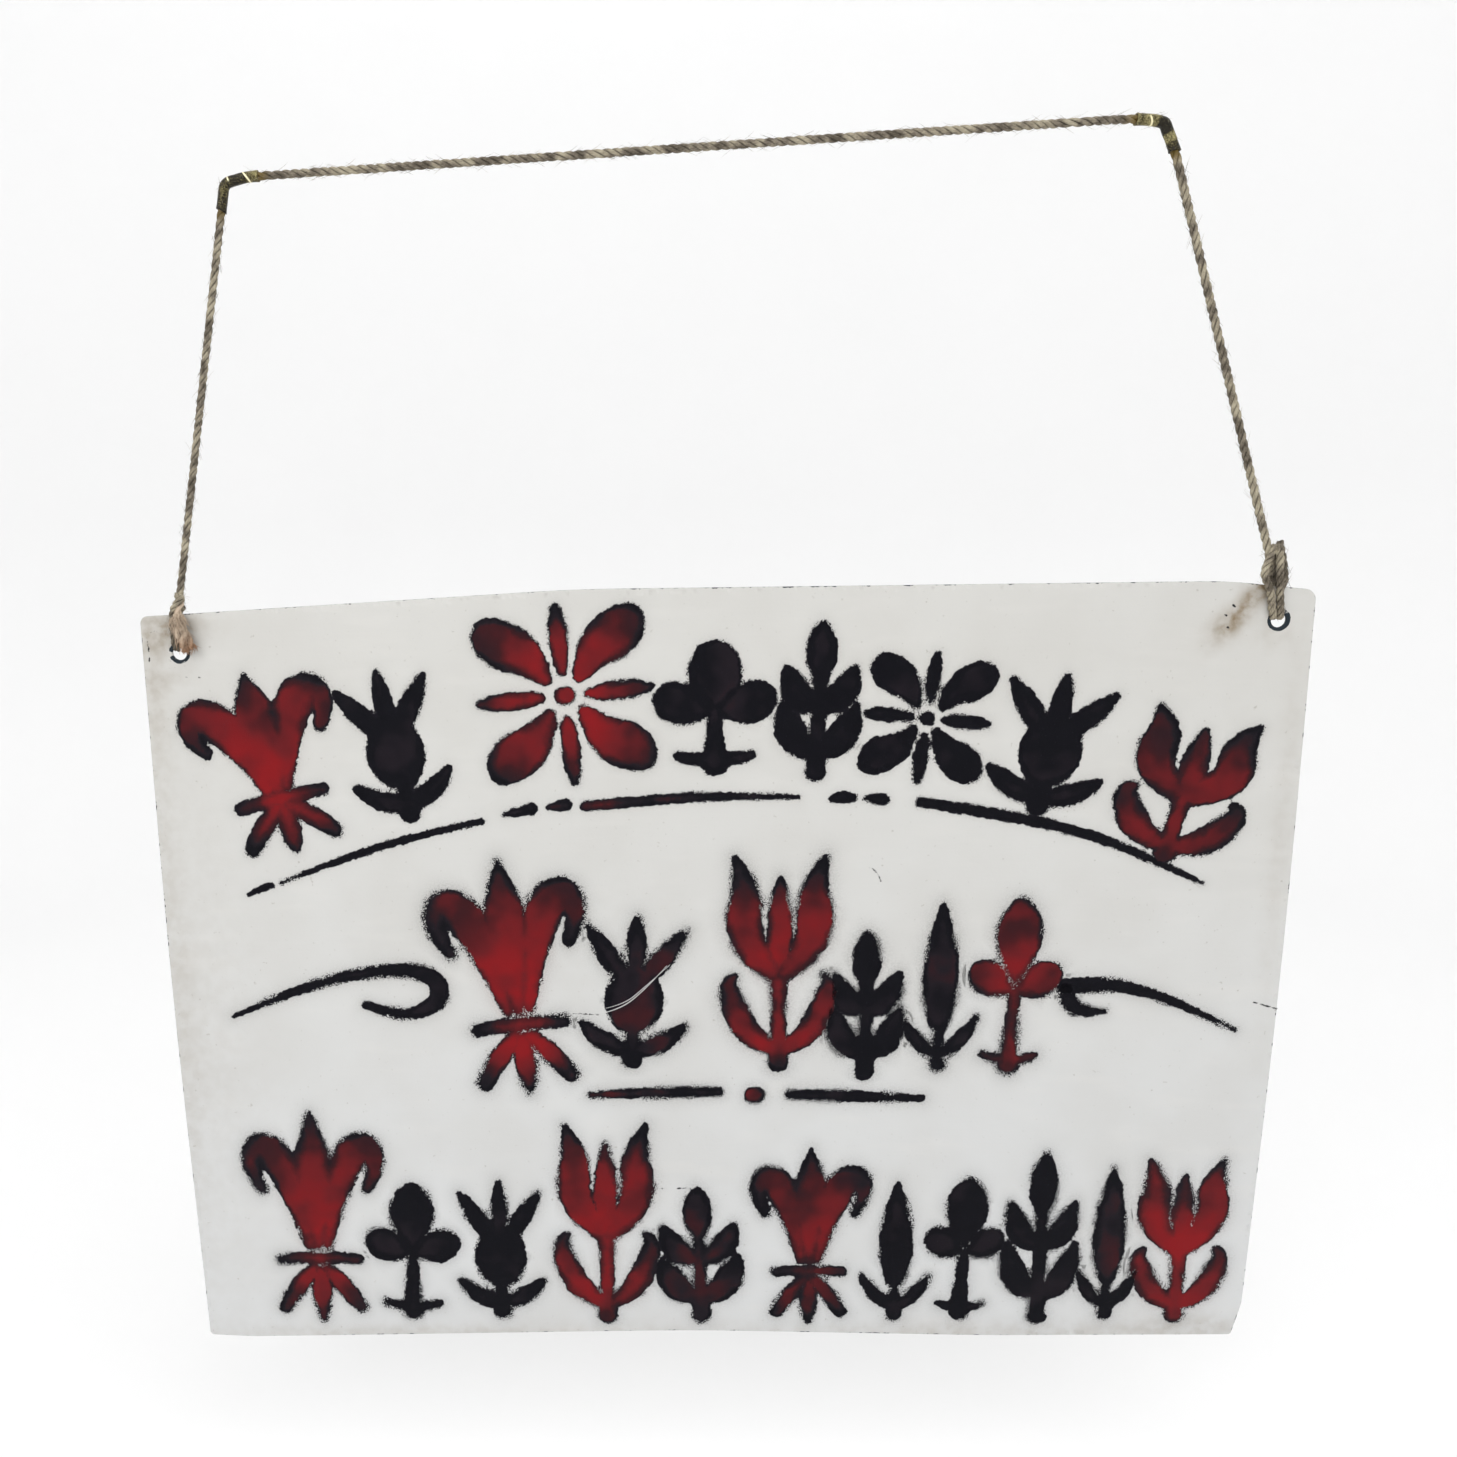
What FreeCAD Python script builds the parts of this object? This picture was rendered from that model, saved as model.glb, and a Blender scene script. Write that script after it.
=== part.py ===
import FreeCAD, Part
import math
import os

# Metal wall plaque: one hand-cut sheet with two holes, hung by a twine that is
# pulled tight over two supports. All lengths are in millimetres.
# The origin is the middle of the sheet. +X is to the right for someone who reads
# the front, +Z is up, and the front faces -Y.

# Sheet
SHEET_WIDTH = 421.6
SHEET_HEIGHT = 301.9
SHEET_THICKNESS = 1.0

# The edges were cut by eye, so each one wanders a little from a straight line.
SIDE_BELLY = 2.0
BELLY_RADIUS = 4000.0
CREST_X = -50.0
CREST_RADIUS = 600.0
LEFT_CORNER_DROP = 5.7
SHOULDER_INSET = 32.8
SHOULDER_DROP = 3.2
SHOULDER_RADIUS = 150.0
RIGHT_CORNER_DROP = 7.1
HOLLOW_X = -8.0
HOLLOW_RISE = 2.9
HOLLOW_RADIUS = 900.0
HEEL_INSET = 100.0
HEEL_RISE = 0.4
HEEL_RADIUS = 600.0
TOE_INSET = 20.8
TOE_RADIUS = 60.0
BOTTOM_CORNER_RISE = 0.9

# Corners: rounded on three, and snipped off on a slant at the lower right
TOP_LEFT_RADIUS = 2.8
TOP_RIGHT_RADIUS = 4.2
BOTTOM_LEFT_RADIUS = 1.8
SNIP_WIDTH = 3.1
SNIP_HEIGHT = 15.0
SNIP_TOP_RADIUS = 20.0
SNIP_BOTTOM_RADIUS = 1.5

# Holes, each placed from the nearest side and from the crest of the top edge
HOLE_DIAMETER = 5.8
HOLE_BEVEL = 0.25
LEFT_HOLE_INSET = 15.5
LEFT_HOLE_DROP = 19.1
RIGHT_HOLE_INSET = 14.0
RIGHT_HOLE_DROP = 17.1

# Twine
TWINE_DIAMETER = 2.7
LOOP_CLEARANCE = 0.1
STRAND_GAP = 0.06
LEFT_STRAND_OFFSET = 0.6

# Knots: wraps of the same twine round the standing part, above the top edge
KNOT_DIAMETER = 6.8
WRAP_PITCH = 2.4
WRAP_BULGE = 0.7
WRAP_SLOPE = 0.7
LEFT_KNOT_WRAPS = 3
LEFT_KNOT_SHIFT = 1.4
LEFT_KNOT_RISE = 18.2
RIGHT_KNOT_WRAPS = 4
RIGHT_KNOT_SHIFT = -3.9
RIGHT_KNOT_RISE = 18.4
STRAND_SEAT = 0.5

# Loose ends
TAIL_SHIFT = 2.9
TAIL_PROUD = 3.5
TAIL_SPREAD = 1.8
TAIL_LEAN = 0.8
TAIL_DROP = 16.9
TAIL_NECK_DIAMETER = 2.7
TAIL_END_DIAMETER = 4.2
TAIL_OPENING = 1.95
STUB_SHIFT = 3.2
STUB_RISE = 6.2

# Tight route of the twine between the knots, as (x, z) of each turn with the
# radius of its bend. A bend without a radius is as large as its two runs allow.
BEND_RADIUS = 3.0
LEFT_BEND = (-165.3, 288.7)
LEFT_EASE = (-157.5, 290.5)
RIGHT_EASE = (139.6, 296.9)
RIGHT_BEND = (144.9, 295.5)
RIGHT_FALL = (148.2, 289.3)
BEND_SHARE = 0.45

# Brass sleeves, bent with the twine at its two supports
SLEEVE_WALL = 0.3
SLEEVE_CLEARANCE = 0.05
LEFT_SLEEVE_LEG = 8.5
LEFT_SLEEVE_ARM = 4.0
RIGHT_SLEEVE_ARM = 4.0
RIGHT_SLEEVE_LEG = 3.4

half_width = SHEET_WIDTH / 2
half_height = SHEET_HEIGHT / 2
half_sheet = SHEET_THICKNESS / 2
hole_radius = HOLE_DIAMETER / 2
twine_radius = TWINE_DIAMETER / 2
knot_radius = KNOT_DIAMETER / 2
loop_radius = half_sheet + LOOP_CLEARANCE + twine_radius
side = half_width - SIDE_BELLY

left_hole = (-half_width + LEFT_HOLE_INSET, half_height - LEFT_HOLE_DROP)
right_hole = (half_width - RIGHT_HOLE_INSET, half_height - RIGHT_HOLE_DROP)
left_knot_place = (left_hole[0] + LEFT_KNOT_SHIFT, left_hole[1] + LEFT_KNOT_RISE)
right_knot_place = (right_hole[0] + RIGHT_KNOT_SHIFT, right_hole[1] + RIGHT_KNOT_RISE)


def at(x, z, y=0.0):
    return FreeCAD.Vector(x, y, z)


def turn_between(before, corner, after):
    """The angle by which a path turns at a corner."""
    return (corner - before).getAngle(after - corner)


def rounded_path(points, radii, closed=False):
    """Straight runs joined by tangent arcs, one arc at each point that has a radius."""
    count = len(points)
    ends = []
    for i, corner in enumerate(points):
        radius = radii[i]
        if radius == 0:
            ends.append((corner, corner, corner))
            continue
        before = points[i - 1]
        after = points[(i + 1) % count]
        half_turn = turn_between(before, corner, after) / 2
        reach = radius * math.tan(half_turn)
        start = corner + (before - corner).normalize() * reach
        stop = corner + (after - corner).normalize() * reach
        towards = ((start + stop) * 0.5 - corner).normalize()
        middle = corner + towards * (radius / math.cos(half_turn) - radius)
        ends.append((start, middle, stop))
    edges = []
    for i in range(count):
        start, middle, stop = ends[i]
        if start != stop:
            edges.append(Part.Arc(start, middle, stop).toShape())
        if closed or i < count - 1:
            following = ends[(i + 1) % count][0]
            edges.append(Part.LineSegment(stop, following).toShape())
    return Part.Wire(edges)


def tube(path, radius):
    """A round solid of one radius along a path: cylinders joined by parts of a torus."""
    lengths = []
    for edge in path.OrderedEdges:
        start = edge.valueAt(edge.FirstParameter)
        ring = Part.makeCircle(radius, start, edge.tangentAt(edge.FirstParameter))
        disc = Part.Face(Part.Wire([ring]))
        if isinstance(edge.Curve, Part.Circle):
            turn = math.degrees(edge.LastParameter - edge.FirstParameter)
            lengths.append(disc.revolve(edge.Curve.Center, edge.Curve.Axis, turn))
        else:
            lengths.append(disc.extrude(edge.valueAt(edge.LastParameter) - start))
    if len(lengths) == 1:
        return lengths[0]
    return lengths[0].fuse(lengths[1:])


def sheet_outline():
    """The hand-cut edge of the sheet, from its upper left corner clockwise."""
    corners = [
        (-side, half_height - LEFT_CORNER_DROP, TOP_LEFT_RADIUS),
        (CREST_X, half_height, CREST_RADIUS),
        (half_width - SHOULDER_INSET, half_height - SHOULDER_DROP, SHOULDER_RADIUS),
        (side, half_height - RIGHT_CORNER_DROP, TOP_RIGHT_RADIUS),
        (half_width, 0.0, BELLY_RADIUS),
        (side, -half_height + SNIP_HEIGHT, SNIP_TOP_RADIUS),
        (side - SNIP_WIDTH, -half_height + BOTTOM_CORNER_RISE, SNIP_BOTTOM_RADIUS),
        (half_width - HEEL_INSET, -half_height + HEEL_RISE, HEEL_RADIUS),
        (HOLLOW_X, -half_height + HOLLOW_RISE, HOLLOW_RADIUS),
        (-half_width + TOE_INSET, -half_height, TOE_RADIUS),
        (-side, -half_height + BOTTOM_CORNER_RISE, BOTTOM_LEFT_RADIUS),
        (-half_width, 0.0, BELLY_RADIUS),
    ]
    points = [at(x, z, -half_sheet) for x, z, radius in corners]
    return rounded_path(points, [radius for x, z, radius in corners], closed=True)


def hole_cutter(place):
    """A drill's hole through the sheet, with a small bevel at both faces."""
    toward_back = FreeCAD.Vector(0, 1, 0)
    mouth = hole_radius + HOLE_BEVEL
    drill = Part.makeCylinder(
        hole_radius, SHEET_THICKNESS, at(*place, -half_sheet), toward_back
    )
    front = Part.makeCone(mouth, hole_radius, HOLE_BEVEL, at(*place, -half_sheet), toward_back)
    back = Part.makeCone(mouth, hole_radius, HOLE_BEVEL, at(*place, half_sheet), -toward_back)
    return drill.fuse([front, back])


def plate():
    """The sheet, with one hole in each upper corner."""
    blank = Part.Face(sheet_outline()).extrude(FreeCAD.Vector(0, SHEET_THICKNESS, 0))
    return blank.cut([hole_cutter(left_hole), hole_cutter(right_hole)])


def upward(hole, knot):
    """The direction from a hole to its knot, and the one across it, in the sheet's plane."""
    along = (at(*knot) - at(*hole)).normalize()
    return along, FreeCAD.Vector(along.z, 0, -along.x)


def loop(hole, knot, offset):
    """One strand: down the front, through the hole round its upper edge, and up the back."""
    along, across = upward(hole, knot)
    centre = at(*hole) + across * offset
    edge = math.sqrt(hole_radius**2 - offset**2)
    rise = (at(*knot) - at(*hole)).Length - STRAND_SEAT
    forward = FreeCAD.Vector(0, -loop_radius, 0)
    front = [centre + along * rise + forward, centre + along * edge + forward]
    back = [centre + along * edge - forward, centre + along * rise - forward]
    lowest = centre + along * (edge - loop_radius)
    path = Part.Wire(
        [
            Part.LineSegment(*front).toShape(),
            Part.Arc(front[1], lowest, back[0]).toShape(),
            Part.LineSegment(*back).toShape(),
        ]
    )
    return tube(path, twine_radius)


def knot(hole, place, wraps, strands):
    """Wraps side by side round the line of the loop, closed on the strands inside them."""
    along, across = upward(hole, place)
    half_length = wraps * WRAP_PITCH / 2
    waist = knot_radius - WRAP_BULGE
    rim = [at(0, -half_length), at(waist, -half_length)]
    for i in range(wraps):
        low = i * WRAP_PITCH - half_length
        rim.append(at(knot_radius, low + WRAP_SLOPE))
        rim.append(at(knot_radius, low + WRAP_PITCH - WRAP_SLOPE))
        rim.append(at(waist, low + WRAP_PITCH))
    rim += [at(0, half_length), rim[0]]
    profile = Part.Face(Part.makePolygon(rim))
    body = profile.revolve(FreeCAD.Vector(0, 0, 0), FreeCAD.Vector(0, 0, 1), 360)
    lean = FreeCAD.Rotation(FreeCAD.Vector(0, 0, 1), along)
    body.Placement = FreeCAD.Placement(at(*place), lean)
    return body.cut(strands)


def tail(hole, place):
    """The loose end in front of the left strand, wider where its fibres have opened."""
    along, across = upward(hole, place)
    neck = at(*place) + across * TAIL_SHIFT + FreeCAD.Vector(0, -TAIL_PROUD, 0)
    course = across * TAIL_SPREAD - along * TAIL_DROP + FreeCAD.Vector(0, TAIL_LEAN, 0)
    rim = [at(0, 0)]
    for share in (0.0, 0.35, 0.8, 1.0):
        opened = math.sin(share * TAIL_OPENING)
        diameter = TAIL_NECK_DIAMETER + (TAIL_END_DIAMETER - TAIL_NECK_DIAMETER) * opened
        rim.append(at(diameter / 2, course.Length * share))
    rim += [at(0, course.Length), rim[0]]
    profile = Part.Face(Part.makePolygon(rim))
    body = profile.revolve(FreeCAD.Vector(0, 0, 0), FreeCAD.Vector(0, 0, 1), 360)
    body.Placement = FreeCAD.Placement(neck, FreeCAD.Rotation(FreeCAD.Vector(0, 0, 1), course))
    return body


def stub(hole, place):
    """The short cut end that stands up beside the twine at the right knot."""
    along, across = upward(hole, place)
    foot = at(*place) + across * STUB_SHIFT
    return Part.makeCylinder(twine_radius, STUB_RISE, foot, along)


def natural_radius(points, i):
    """The largest bend that the two runs at a point allow."""
    shorter = min((points[i] - points[i - 1]).Length, (points[i + 1] - points[i]).Length)
    half_turn = turn_between(points[i - 1], points[i], points[i + 1]) / 2
    return BEND_SHARE * shorter / math.tan(half_turn)


def twine_route():
    """Points and bend radii of the tight twine, from the left knot to the right one."""
    left_axis = upward(left_hole, left_knot_place)[0]
    right_axis = upward(right_hole, right_knot_place)[0]
    points = [
        at(*left_knot_place) + left_axis * STRAND_SEAT,
        at(*LEFT_BEND),
        at(*LEFT_EASE),
        at(*RIGHT_EASE),
        at(*RIGHT_BEND),
        at(*RIGHT_FALL),
        at(*right_knot_place) + right_axis * STRAND_SEAT,
    ]
    radii = [0, BEND_RADIUS]
    radii += [natural_radius(points, i) for i in (2, 3)]
    radii += [BEND_RADIUS, natural_radius(points, 5), 0]
    return points, radii


def sleeve(points, radii):
    """A thin brass tube bent round the twine."""
    path = rounded_path(points, radii)
    bore = twine_radius + SLEEVE_CLEARANCE
    return tube(path, bore + SLEEVE_WALL).cut(tube(path, bore))


def stepped(start, toward, distance):
    """The point at a distance from start, on the way to another point."""
    return start + (toward - start).normalize() * distance


os.makedirs("parts", exist_ok=True)

points, radii = twine_route()
route = rounded_path(points, radii)
cord = tube(route, twine_radius)

strand_offset = twine_radius + STRAND_GAP / 2
left_loop = loop(left_hole, left_knot_place, LEFT_STRAND_OFFSET)
right_loop_inner = loop(right_hole, right_knot_place, -strand_offset)
right_loop_outer = loop(right_hole, right_knot_place, strand_offset)
left_tail = tail(left_hole, left_knot_place)
right_stub = stub(right_hole, right_knot_place)

left_sleeve = sleeve(
    [
        stepped(points[1], points[0], LEFT_SLEEVE_LEG),
        points[1],
        points[2],
        stepped(points[2], points[3], LEFT_SLEEVE_ARM),
    ],
    [0, radii[1], radii[2], 0],
)
right_sleeve = sleeve(
    [
        stepped(points[3], points[2], RIGHT_SLEEVE_ARM),
        points[3],
        points[4],
        points[5],
        stepped(points[5], points[6], RIGHT_SLEEVE_LEG),
    ],
    [0, radii[3], radii[4], radii[5], 0],
)

nodes = {
    "plate": plate(),
    "cord": cord,
    "left_loop": left_loop,
    "right_loop_inner": right_loop_inner,
    "right_loop_outer": right_loop_outer,
    "left_knot": knot(
        left_hole, left_knot_place, LEFT_KNOT_WRAPS, [cord, left_loop, left_tail]
    ),
    "right_knot": knot(
        right_hole,
        right_knot_place,
        RIGHT_KNOT_WRAPS,
        [cord, right_loop_inner, right_loop_outer, right_stub],
    ),
    "left_tail": left_tail,
    "right_stub": right_stub,
    "left_sleeve": left_sleeve,
    "right_sleeve": right_sleeve,
}

for name, shape in nodes.items():
    shape.exportStep(f"parts/{name}.step")

print("twine length", round(route.Length, 2), "volume", round(cord.Volume, 2))
print("section times length", round(math.pi * twine_radius**2 * route.Length, 2))
print("bend radii", [round(radius, 2) for radius in radii])
for name, shape in nodes.items():
    print(name, shape.isValid(), len(shape.Solids), round(shape.Volume, 2))
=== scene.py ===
import math

import bmesh
import bpy
import numpy as np
from mathutils import Matrix, Vector, noise
from mathutils.geometry import delaunay_2d_cdt
from mathutils.kdtree import KDTree


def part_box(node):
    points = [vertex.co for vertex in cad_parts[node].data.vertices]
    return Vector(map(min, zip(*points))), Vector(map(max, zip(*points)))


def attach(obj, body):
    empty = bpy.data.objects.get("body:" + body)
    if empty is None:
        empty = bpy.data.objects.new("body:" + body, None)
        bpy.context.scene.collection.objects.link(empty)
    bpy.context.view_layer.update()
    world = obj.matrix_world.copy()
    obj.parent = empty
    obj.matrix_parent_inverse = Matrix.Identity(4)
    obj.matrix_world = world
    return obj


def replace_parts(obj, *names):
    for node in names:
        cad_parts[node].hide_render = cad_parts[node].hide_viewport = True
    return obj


bl_info = {
    "name": "Painted sheet plaque on twine",
    "version": (1, 0, 0),
    "blender": (4, 5, 0),
    "location": "3D View > Sidebar > Plaque",
    "description": "Enamel, stencilled ornament, twine and brass for a metal wall plaque",
    "category": "Add Mesh",
}

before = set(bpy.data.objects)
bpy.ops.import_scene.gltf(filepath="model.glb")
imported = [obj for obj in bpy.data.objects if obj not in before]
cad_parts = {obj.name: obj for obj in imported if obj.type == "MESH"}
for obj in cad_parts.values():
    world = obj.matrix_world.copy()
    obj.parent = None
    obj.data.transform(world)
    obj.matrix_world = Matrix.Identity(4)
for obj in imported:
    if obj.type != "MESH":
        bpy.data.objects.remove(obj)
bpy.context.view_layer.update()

# Lengths in this file are in millimetres, and become metres where a mesh is made.
MM = 0.001
SEED = 41

# Sheet, read from the frame
SHEET_LOW, SHEET_HIGH = (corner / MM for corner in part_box("plate"))
FRONT = SHEET_LOW.y
BACK = SHEET_HIGH.y

# Knots, read from the frame
LEFT_KNOT = sum(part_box("left_knot"), Vector()) / 2 / MM
RIGHT_KNOT = sum(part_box("right_knot"), Vector()) / 2 / MM

# Tight route of the twine, as (x, z) from the left knot to the right one. Beside each
# bend a point on the straight run keeps the bend as small as the support it goes round.
TWINE_START = (-193.86, 150.55)
TWINE_END = (192.80, 152.74)
TWINE_ROUTE = (
    TWINE_START, (-168.68, 272.33), (-167.05, 280.20), (-166.20, 284.40), (-165.30, 288.70),
    (-161.30, 289.65), (-157.50, 290.50), (-149.50, 290.67), (-141.50, 290.84), (124.00, 296.56),
    (134.12, 296.60), (139.60, 296.30), (142.80, 295.75), (145.10, 295.10), (146.00, 292.90),
    (148.00, 288.90), (150.49, 282.30), (153.60, 272.79), TWINE_END,
)

# Where the brass sleeves begin and end on that route
LEFT_SLEEVE = ((-167.05, 280.20), (-153.50, 290.60))
RIGHT_SLEEVE = ((135.60, 296.60), (149.00, 286.40))

# Steps between the points of the laid twine, of its strands in the knots, of the sleeves,
# and of a path along the twine that is worked out but not used
TWINE_STEP = 0.62
STRAND_STEP = 0.4
SLEEVE_STEP = 0.3
TOLD_STEP = 3.0


def linear(code):
    """An sRGB colour such as #7A1A1E as linear red, green, blue and alpha."""
    parts = [int(code[i : i + 2], 16) / 255 for i in (1, 3, 5)]
    turned = [c / 12.92 if c <= 0.04045 else ((c + 0.055) / 1.055) ** 2.4 for c in parts]
    return (*turned, 1.0)


def colour_setting(name, description, code):
    """A colour that a user may change, with its default as an sRGB code."""
    return bpy.props.FloatVectorProperty(
        name=name,
        description=description,
        default=linear(code),
        size=4,
        min=0.0,
        max=1.0,
        subtype="COLOR",
    )


def length_setting(name, description, millimetres):
    """A length that a user may change, with its default in millimetres."""
    return bpy.props.FloatProperty(
        name=name,
        description=description,
        default=millimetres * MM,
        min=0.0,
        precision=5,
        subtype="DISTANCE",
        unit="LENGTH",
    )


class PlaqueSheetSettings(bpy.types.PropertyGroup):
    """Sizes and colours of the enamelled sheet."""

    upper_colour: colour_setting("Upper enamel", "Enamel near the top edge", "#CECDC9")
    lower_colour: colour_setting("Lower enamel", "Enamel near the bottom edge", "#D1D2D2")
    dirt_colour: colour_setting("Dirt", "Brown dirt round the twine and corners", "#8A7A63")
    steel_colour: colour_setting("Bare steel", "Steel where the enamel is gone", "#2B3238")
    mesh_step: length_setting("Mesh step", "Distance between the front's points", 1.5)
    ripple: length_setting("Ripple", "How far the thin sheet strays from flat", 0.12)


class PlaqueMarksSettings(bpy.types.PropertyGroup):
    """Sizes and colours of the stencilled paint."""

    red: colour_setting("Red", "Middle of the red marks", "#82181C")
    maroon: colour_setting("Maroon", "Where black was sprayed over red", "#38161A")
    black: colour_setting("Black", "The black marks", "#0C0C12")
    film: length_setting("Film", "How far the paint stands proud", 0.05)
    mist: length_setting("Mist", "Reach of the paint that blew under the stencil", 2.2)


class PlaqueTwineSettings(bpy.types.PropertyGroup):
    """Sizes and colours of the twine."""

    diameter: length_setting("Diameter", "Twine over its three plies", 2.7)
    lay: length_setting("Lay", "Length of one full turn of a ply", 9.5)
    length: length_setting("Length", "Twine between the two knots", 601.8)
    pale_colour: colour_setting("Pale fibre", "Fibres that catch the light", "#BDB49E")
    dark_colour: colour_setting("Dark fibre", "Fibres in the grooves", "#534C40")
    end_colour: colour_setting("Cut ends", "Orange brown of the opened fibres", "#9A6B47")


class PlaqueBrassSettings(bpy.types.PropertyGroup):
    """Sizes and colours of the brass sleeves."""

    outer: length_setting("Outer radius", "Radius over the sleeve", 1.7)
    bore: length_setting("Bore radius", "Radius of the twine's way through", 1.42)
    bright: colour_setting("Brass", "Brass that is rubbed bright", "#A39A6C")
    tarnish: colour_setting("Tarnish", "Brown-black tarnish", "#1F1B10")


class PlaqueStageSettings(bpy.types.PropertyGroup):
    """Camera, light and floor."""

    floor_colour: colour_setting("Floor", "Pale floor and wall", "#F4F4F4")
    focal_length: bpy.props.FloatProperty(
        name="Focal length",
        description="Lens of the camera, in millimetres",
        default=24.56,
        min=1.0,
        unit="CAMERA",
    )
    key_power: bpy.props.FloatProperty(
        name="Key light",
        description="Power of the soft light in front",
        default=6.0,
        min=0.0,
        unit="POWER",
    )
    fill_power: bpy.props.FloatProperty(
        name="Fill light",
        description="Power of the soft light overhead",
        default=4.4,
        min=0.0,
        unit="POWER",
    )


# Settings of a node that eases one range into another, and of one that mixes the colours at
# its inputs 6 and 7 by the share at its input 0
EASED = {"interpolation_type": "SMOOTHSTEP"}
COLOURS = {"data_type": "RGBA", "output": 2}


def add_node(tree, kind, inputs=(), output=0, stops=(), **settings):
    """Adds a node with its settings and links, and returns one of its outputs.

    Inputs are values or other nodes' outputs, in order or by name. Stops are the places and
    colours of a ramp.
    """
    node = tree.nodes.new("ShaderNode" + kind)
    for name, value in settings.items():
        setattr(node, name, value)
    for socket, value in inputs.items() if isinstance(inputs, dict) else enumerate(inputs):
        if isinstance(value, bpy.types.NodeSocket):
            tree.links.new(value, node.inputs[socket])
        else:
            node.inputs[socket].default_value = value
    while stops and len(node.color_ramp.elements) < len(stops):
        node.color_ramp.elements.new(0.5)
    for number, (place, colour) in enumerate(stops):
        node.color_ramp.elements[number].position = place
        node.color_ramp.elements[number].color = colour
    return node.outputs[output] if node.outputs else None


def new_tree(name):
    """A material without nodes, and its tree."""
    material = bpy.data.materials.new(name)
    material.use_nodes = True
    material.node_tree.nodes.clear()
    return material, material.node_tree


def close_tree(tree, colour, roughness, heights=(), metallic=0.0, **constants):
    """Ends a material in one surface shader, bumped by each (height, millimetres)."""
    inputs = {"Base Color": colour, "Roughness": roughness, "Metallic": metallic}
    for height, distance in heights:
        bump = {"Height": height, "Distance": distance * MM, "Strength": 1.0}
        if "Normal" in inputs:
            bump["Normal"] = inputs["Normal"]
        inputs["Normal"] = add_node(tree, "Bump", bump)
    inputs.update({name.replace("_", " "): value for name, value in constants.items()})
    shader = add_node(tree, "BsdfPrincipled", inputs)
    add_node(tree, "OutputMaterial", (shader,))


def grain(tree, place, size, detail, stretch=(1.0, 1.0, 1.0)):
    """A pattern whose lumps are about one size, in millimetres, along each stretched axis."""
    pace = [1 / (size * MM * s) for s in stretch]
    scaled = add_node(tree, "VectorMath", (place, pace), operation="MULTIPLY")
    pattern = {"Vector": scaled, "Scale": 1.0, "Detail": detail}
    return add_node(tree, "TexNoise", pattern, "Fac")


def patches(tree, place, size, detail, limits, stretch=(1.0, 1.0, 1.0)):
    """A pattern eased from its first two limits to the last two."""
    pattern = grain(tree, place, size, detail, stretch)
    return add_node(tree, "MapRange", (pattern, *limits), **EASED)


def paint_colours(tree, ink, marks):
    """Red through maroon to blue-black, as the black was sprayed over the red."""
    stops = (
        (0.0, tuple(marks.red)),
        (0.28, linear("#661A1E")),
        (0.56, tuple(marks.maroon)),
        (0.80, linear("#1C171D")),
        (1.0, tuple(marks.black)),
    )
    return add_node(tree, "ValToRGB", (ink,), stops=stops)


# Clouds, streaks and dust in the enamel: size of the lumps in millimetres, limits, stretch
# along each axis, and colour
ENAMEL_FLAWS = (
    (45.0, (0.35, 0.70, 0.0, 0.22), (1.0, 1.0, 1.0), "#BDBAB4"),
    (9.0, (0.52, 0.75, 0.0, 0.18), (4.0, 1.0, 1.0), "#DAD8D4"),
    (1.6, (0.68, 0.80, 0.0, 0.45), (1.0, 1.0, 1.0), "#8F897E"),
)

# Brush marks, which run across the sheet: their width in millimetres, and their stretch
BRUSH_WIDTH = 1.4
BRUSH_STRETCH = (14.0, 1.0, 1.0)

# Old oil paint has lost most of its shine
OLD_PAINT = {"IOR": 1.5, "Specular_IOR_Level": 0.07}


def ground_coat(tree, sheet, marks):
    """Colour, roughness and bumps of the white enamel, with dirt and paint mist on it."""
    place = add_node(tree, "TexCoord", output="Object")
    height = add_node(tree, "SeparateXYZ", (place,), "Z")
    ends = (SHEET_LOW.z * MM, SHEET_HIGH.z * MM, 0.0, 1.0)
    fade = add_node(tree, "MapRange", (height, *ends), **EASED)
    lower, upper = tuple(sheet.lower_colour), tuple(sheet.upper_colour)
    colour = add_node(tree, "Mix", {0: fade, 6: lower, 7: upper}, **COLOURS)
    for size, limits, stretch, code in ENAMEL_FLAWS:
        flaw = patches(tree, place, size, 3.0, limits, stretch)
        colour = add_node(tree, "Mix", {0: flaw, 6: colour, 7: linear(code)}, **COLOURS)
    patchy = patches(tree, place, 5.0, 4.0, (0.30, 0.70, 0.45, 1.25))
    dirt = add_node(tree, "Attribute", output="Fac", attribute_name="dirt")
    dirt = add_node(tree, "Math", (dirt, patchy), operation="MULTIPLY")
    brown = tuple(sheet.dirt_colour)
    colour = add_node(tree, "Mix", {0: dirt, 6: colour, 7: brown}, **COLOURS)
    speckle = patches(tree, place, 0.55, 2.0, (0.30, 0.70, 0.35, 1.3))
    mist = add_node(tree, "Attribute", output="Fac", attribute_name="mist")
    mist = add_node(tree, "Math", (mist, speckle), operation="MULTIPLY")
    ink = add_node(tree, "Attribute", output="Fac", attribute_name="mist_ink")
    tint = paint_colours(tree, ink, marks)
    colour = add_node(tree, "Mix", {0: mist, 6: colour, 7: tint}, **COLOURS)
    peel = grain(tree, place, 0.9, 1.0)
    brushed = grain(tree, place, BRUSH_WIDTH, 2.0, BRUSH_STRETCH)
    rough = patches(tree, place, 22.0, 2.0, (0.3, 0.7, 0.36, 0.52))
    dull = add_node(tree, "Math", (dirt, 0.25), operation="MULTIPLY")
    rough = add_node(tree, "Math", (rough, dull), operation="ADD")
    return colour, rough, [(peel, 0.02), (brushed, 0.03)], place


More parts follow.
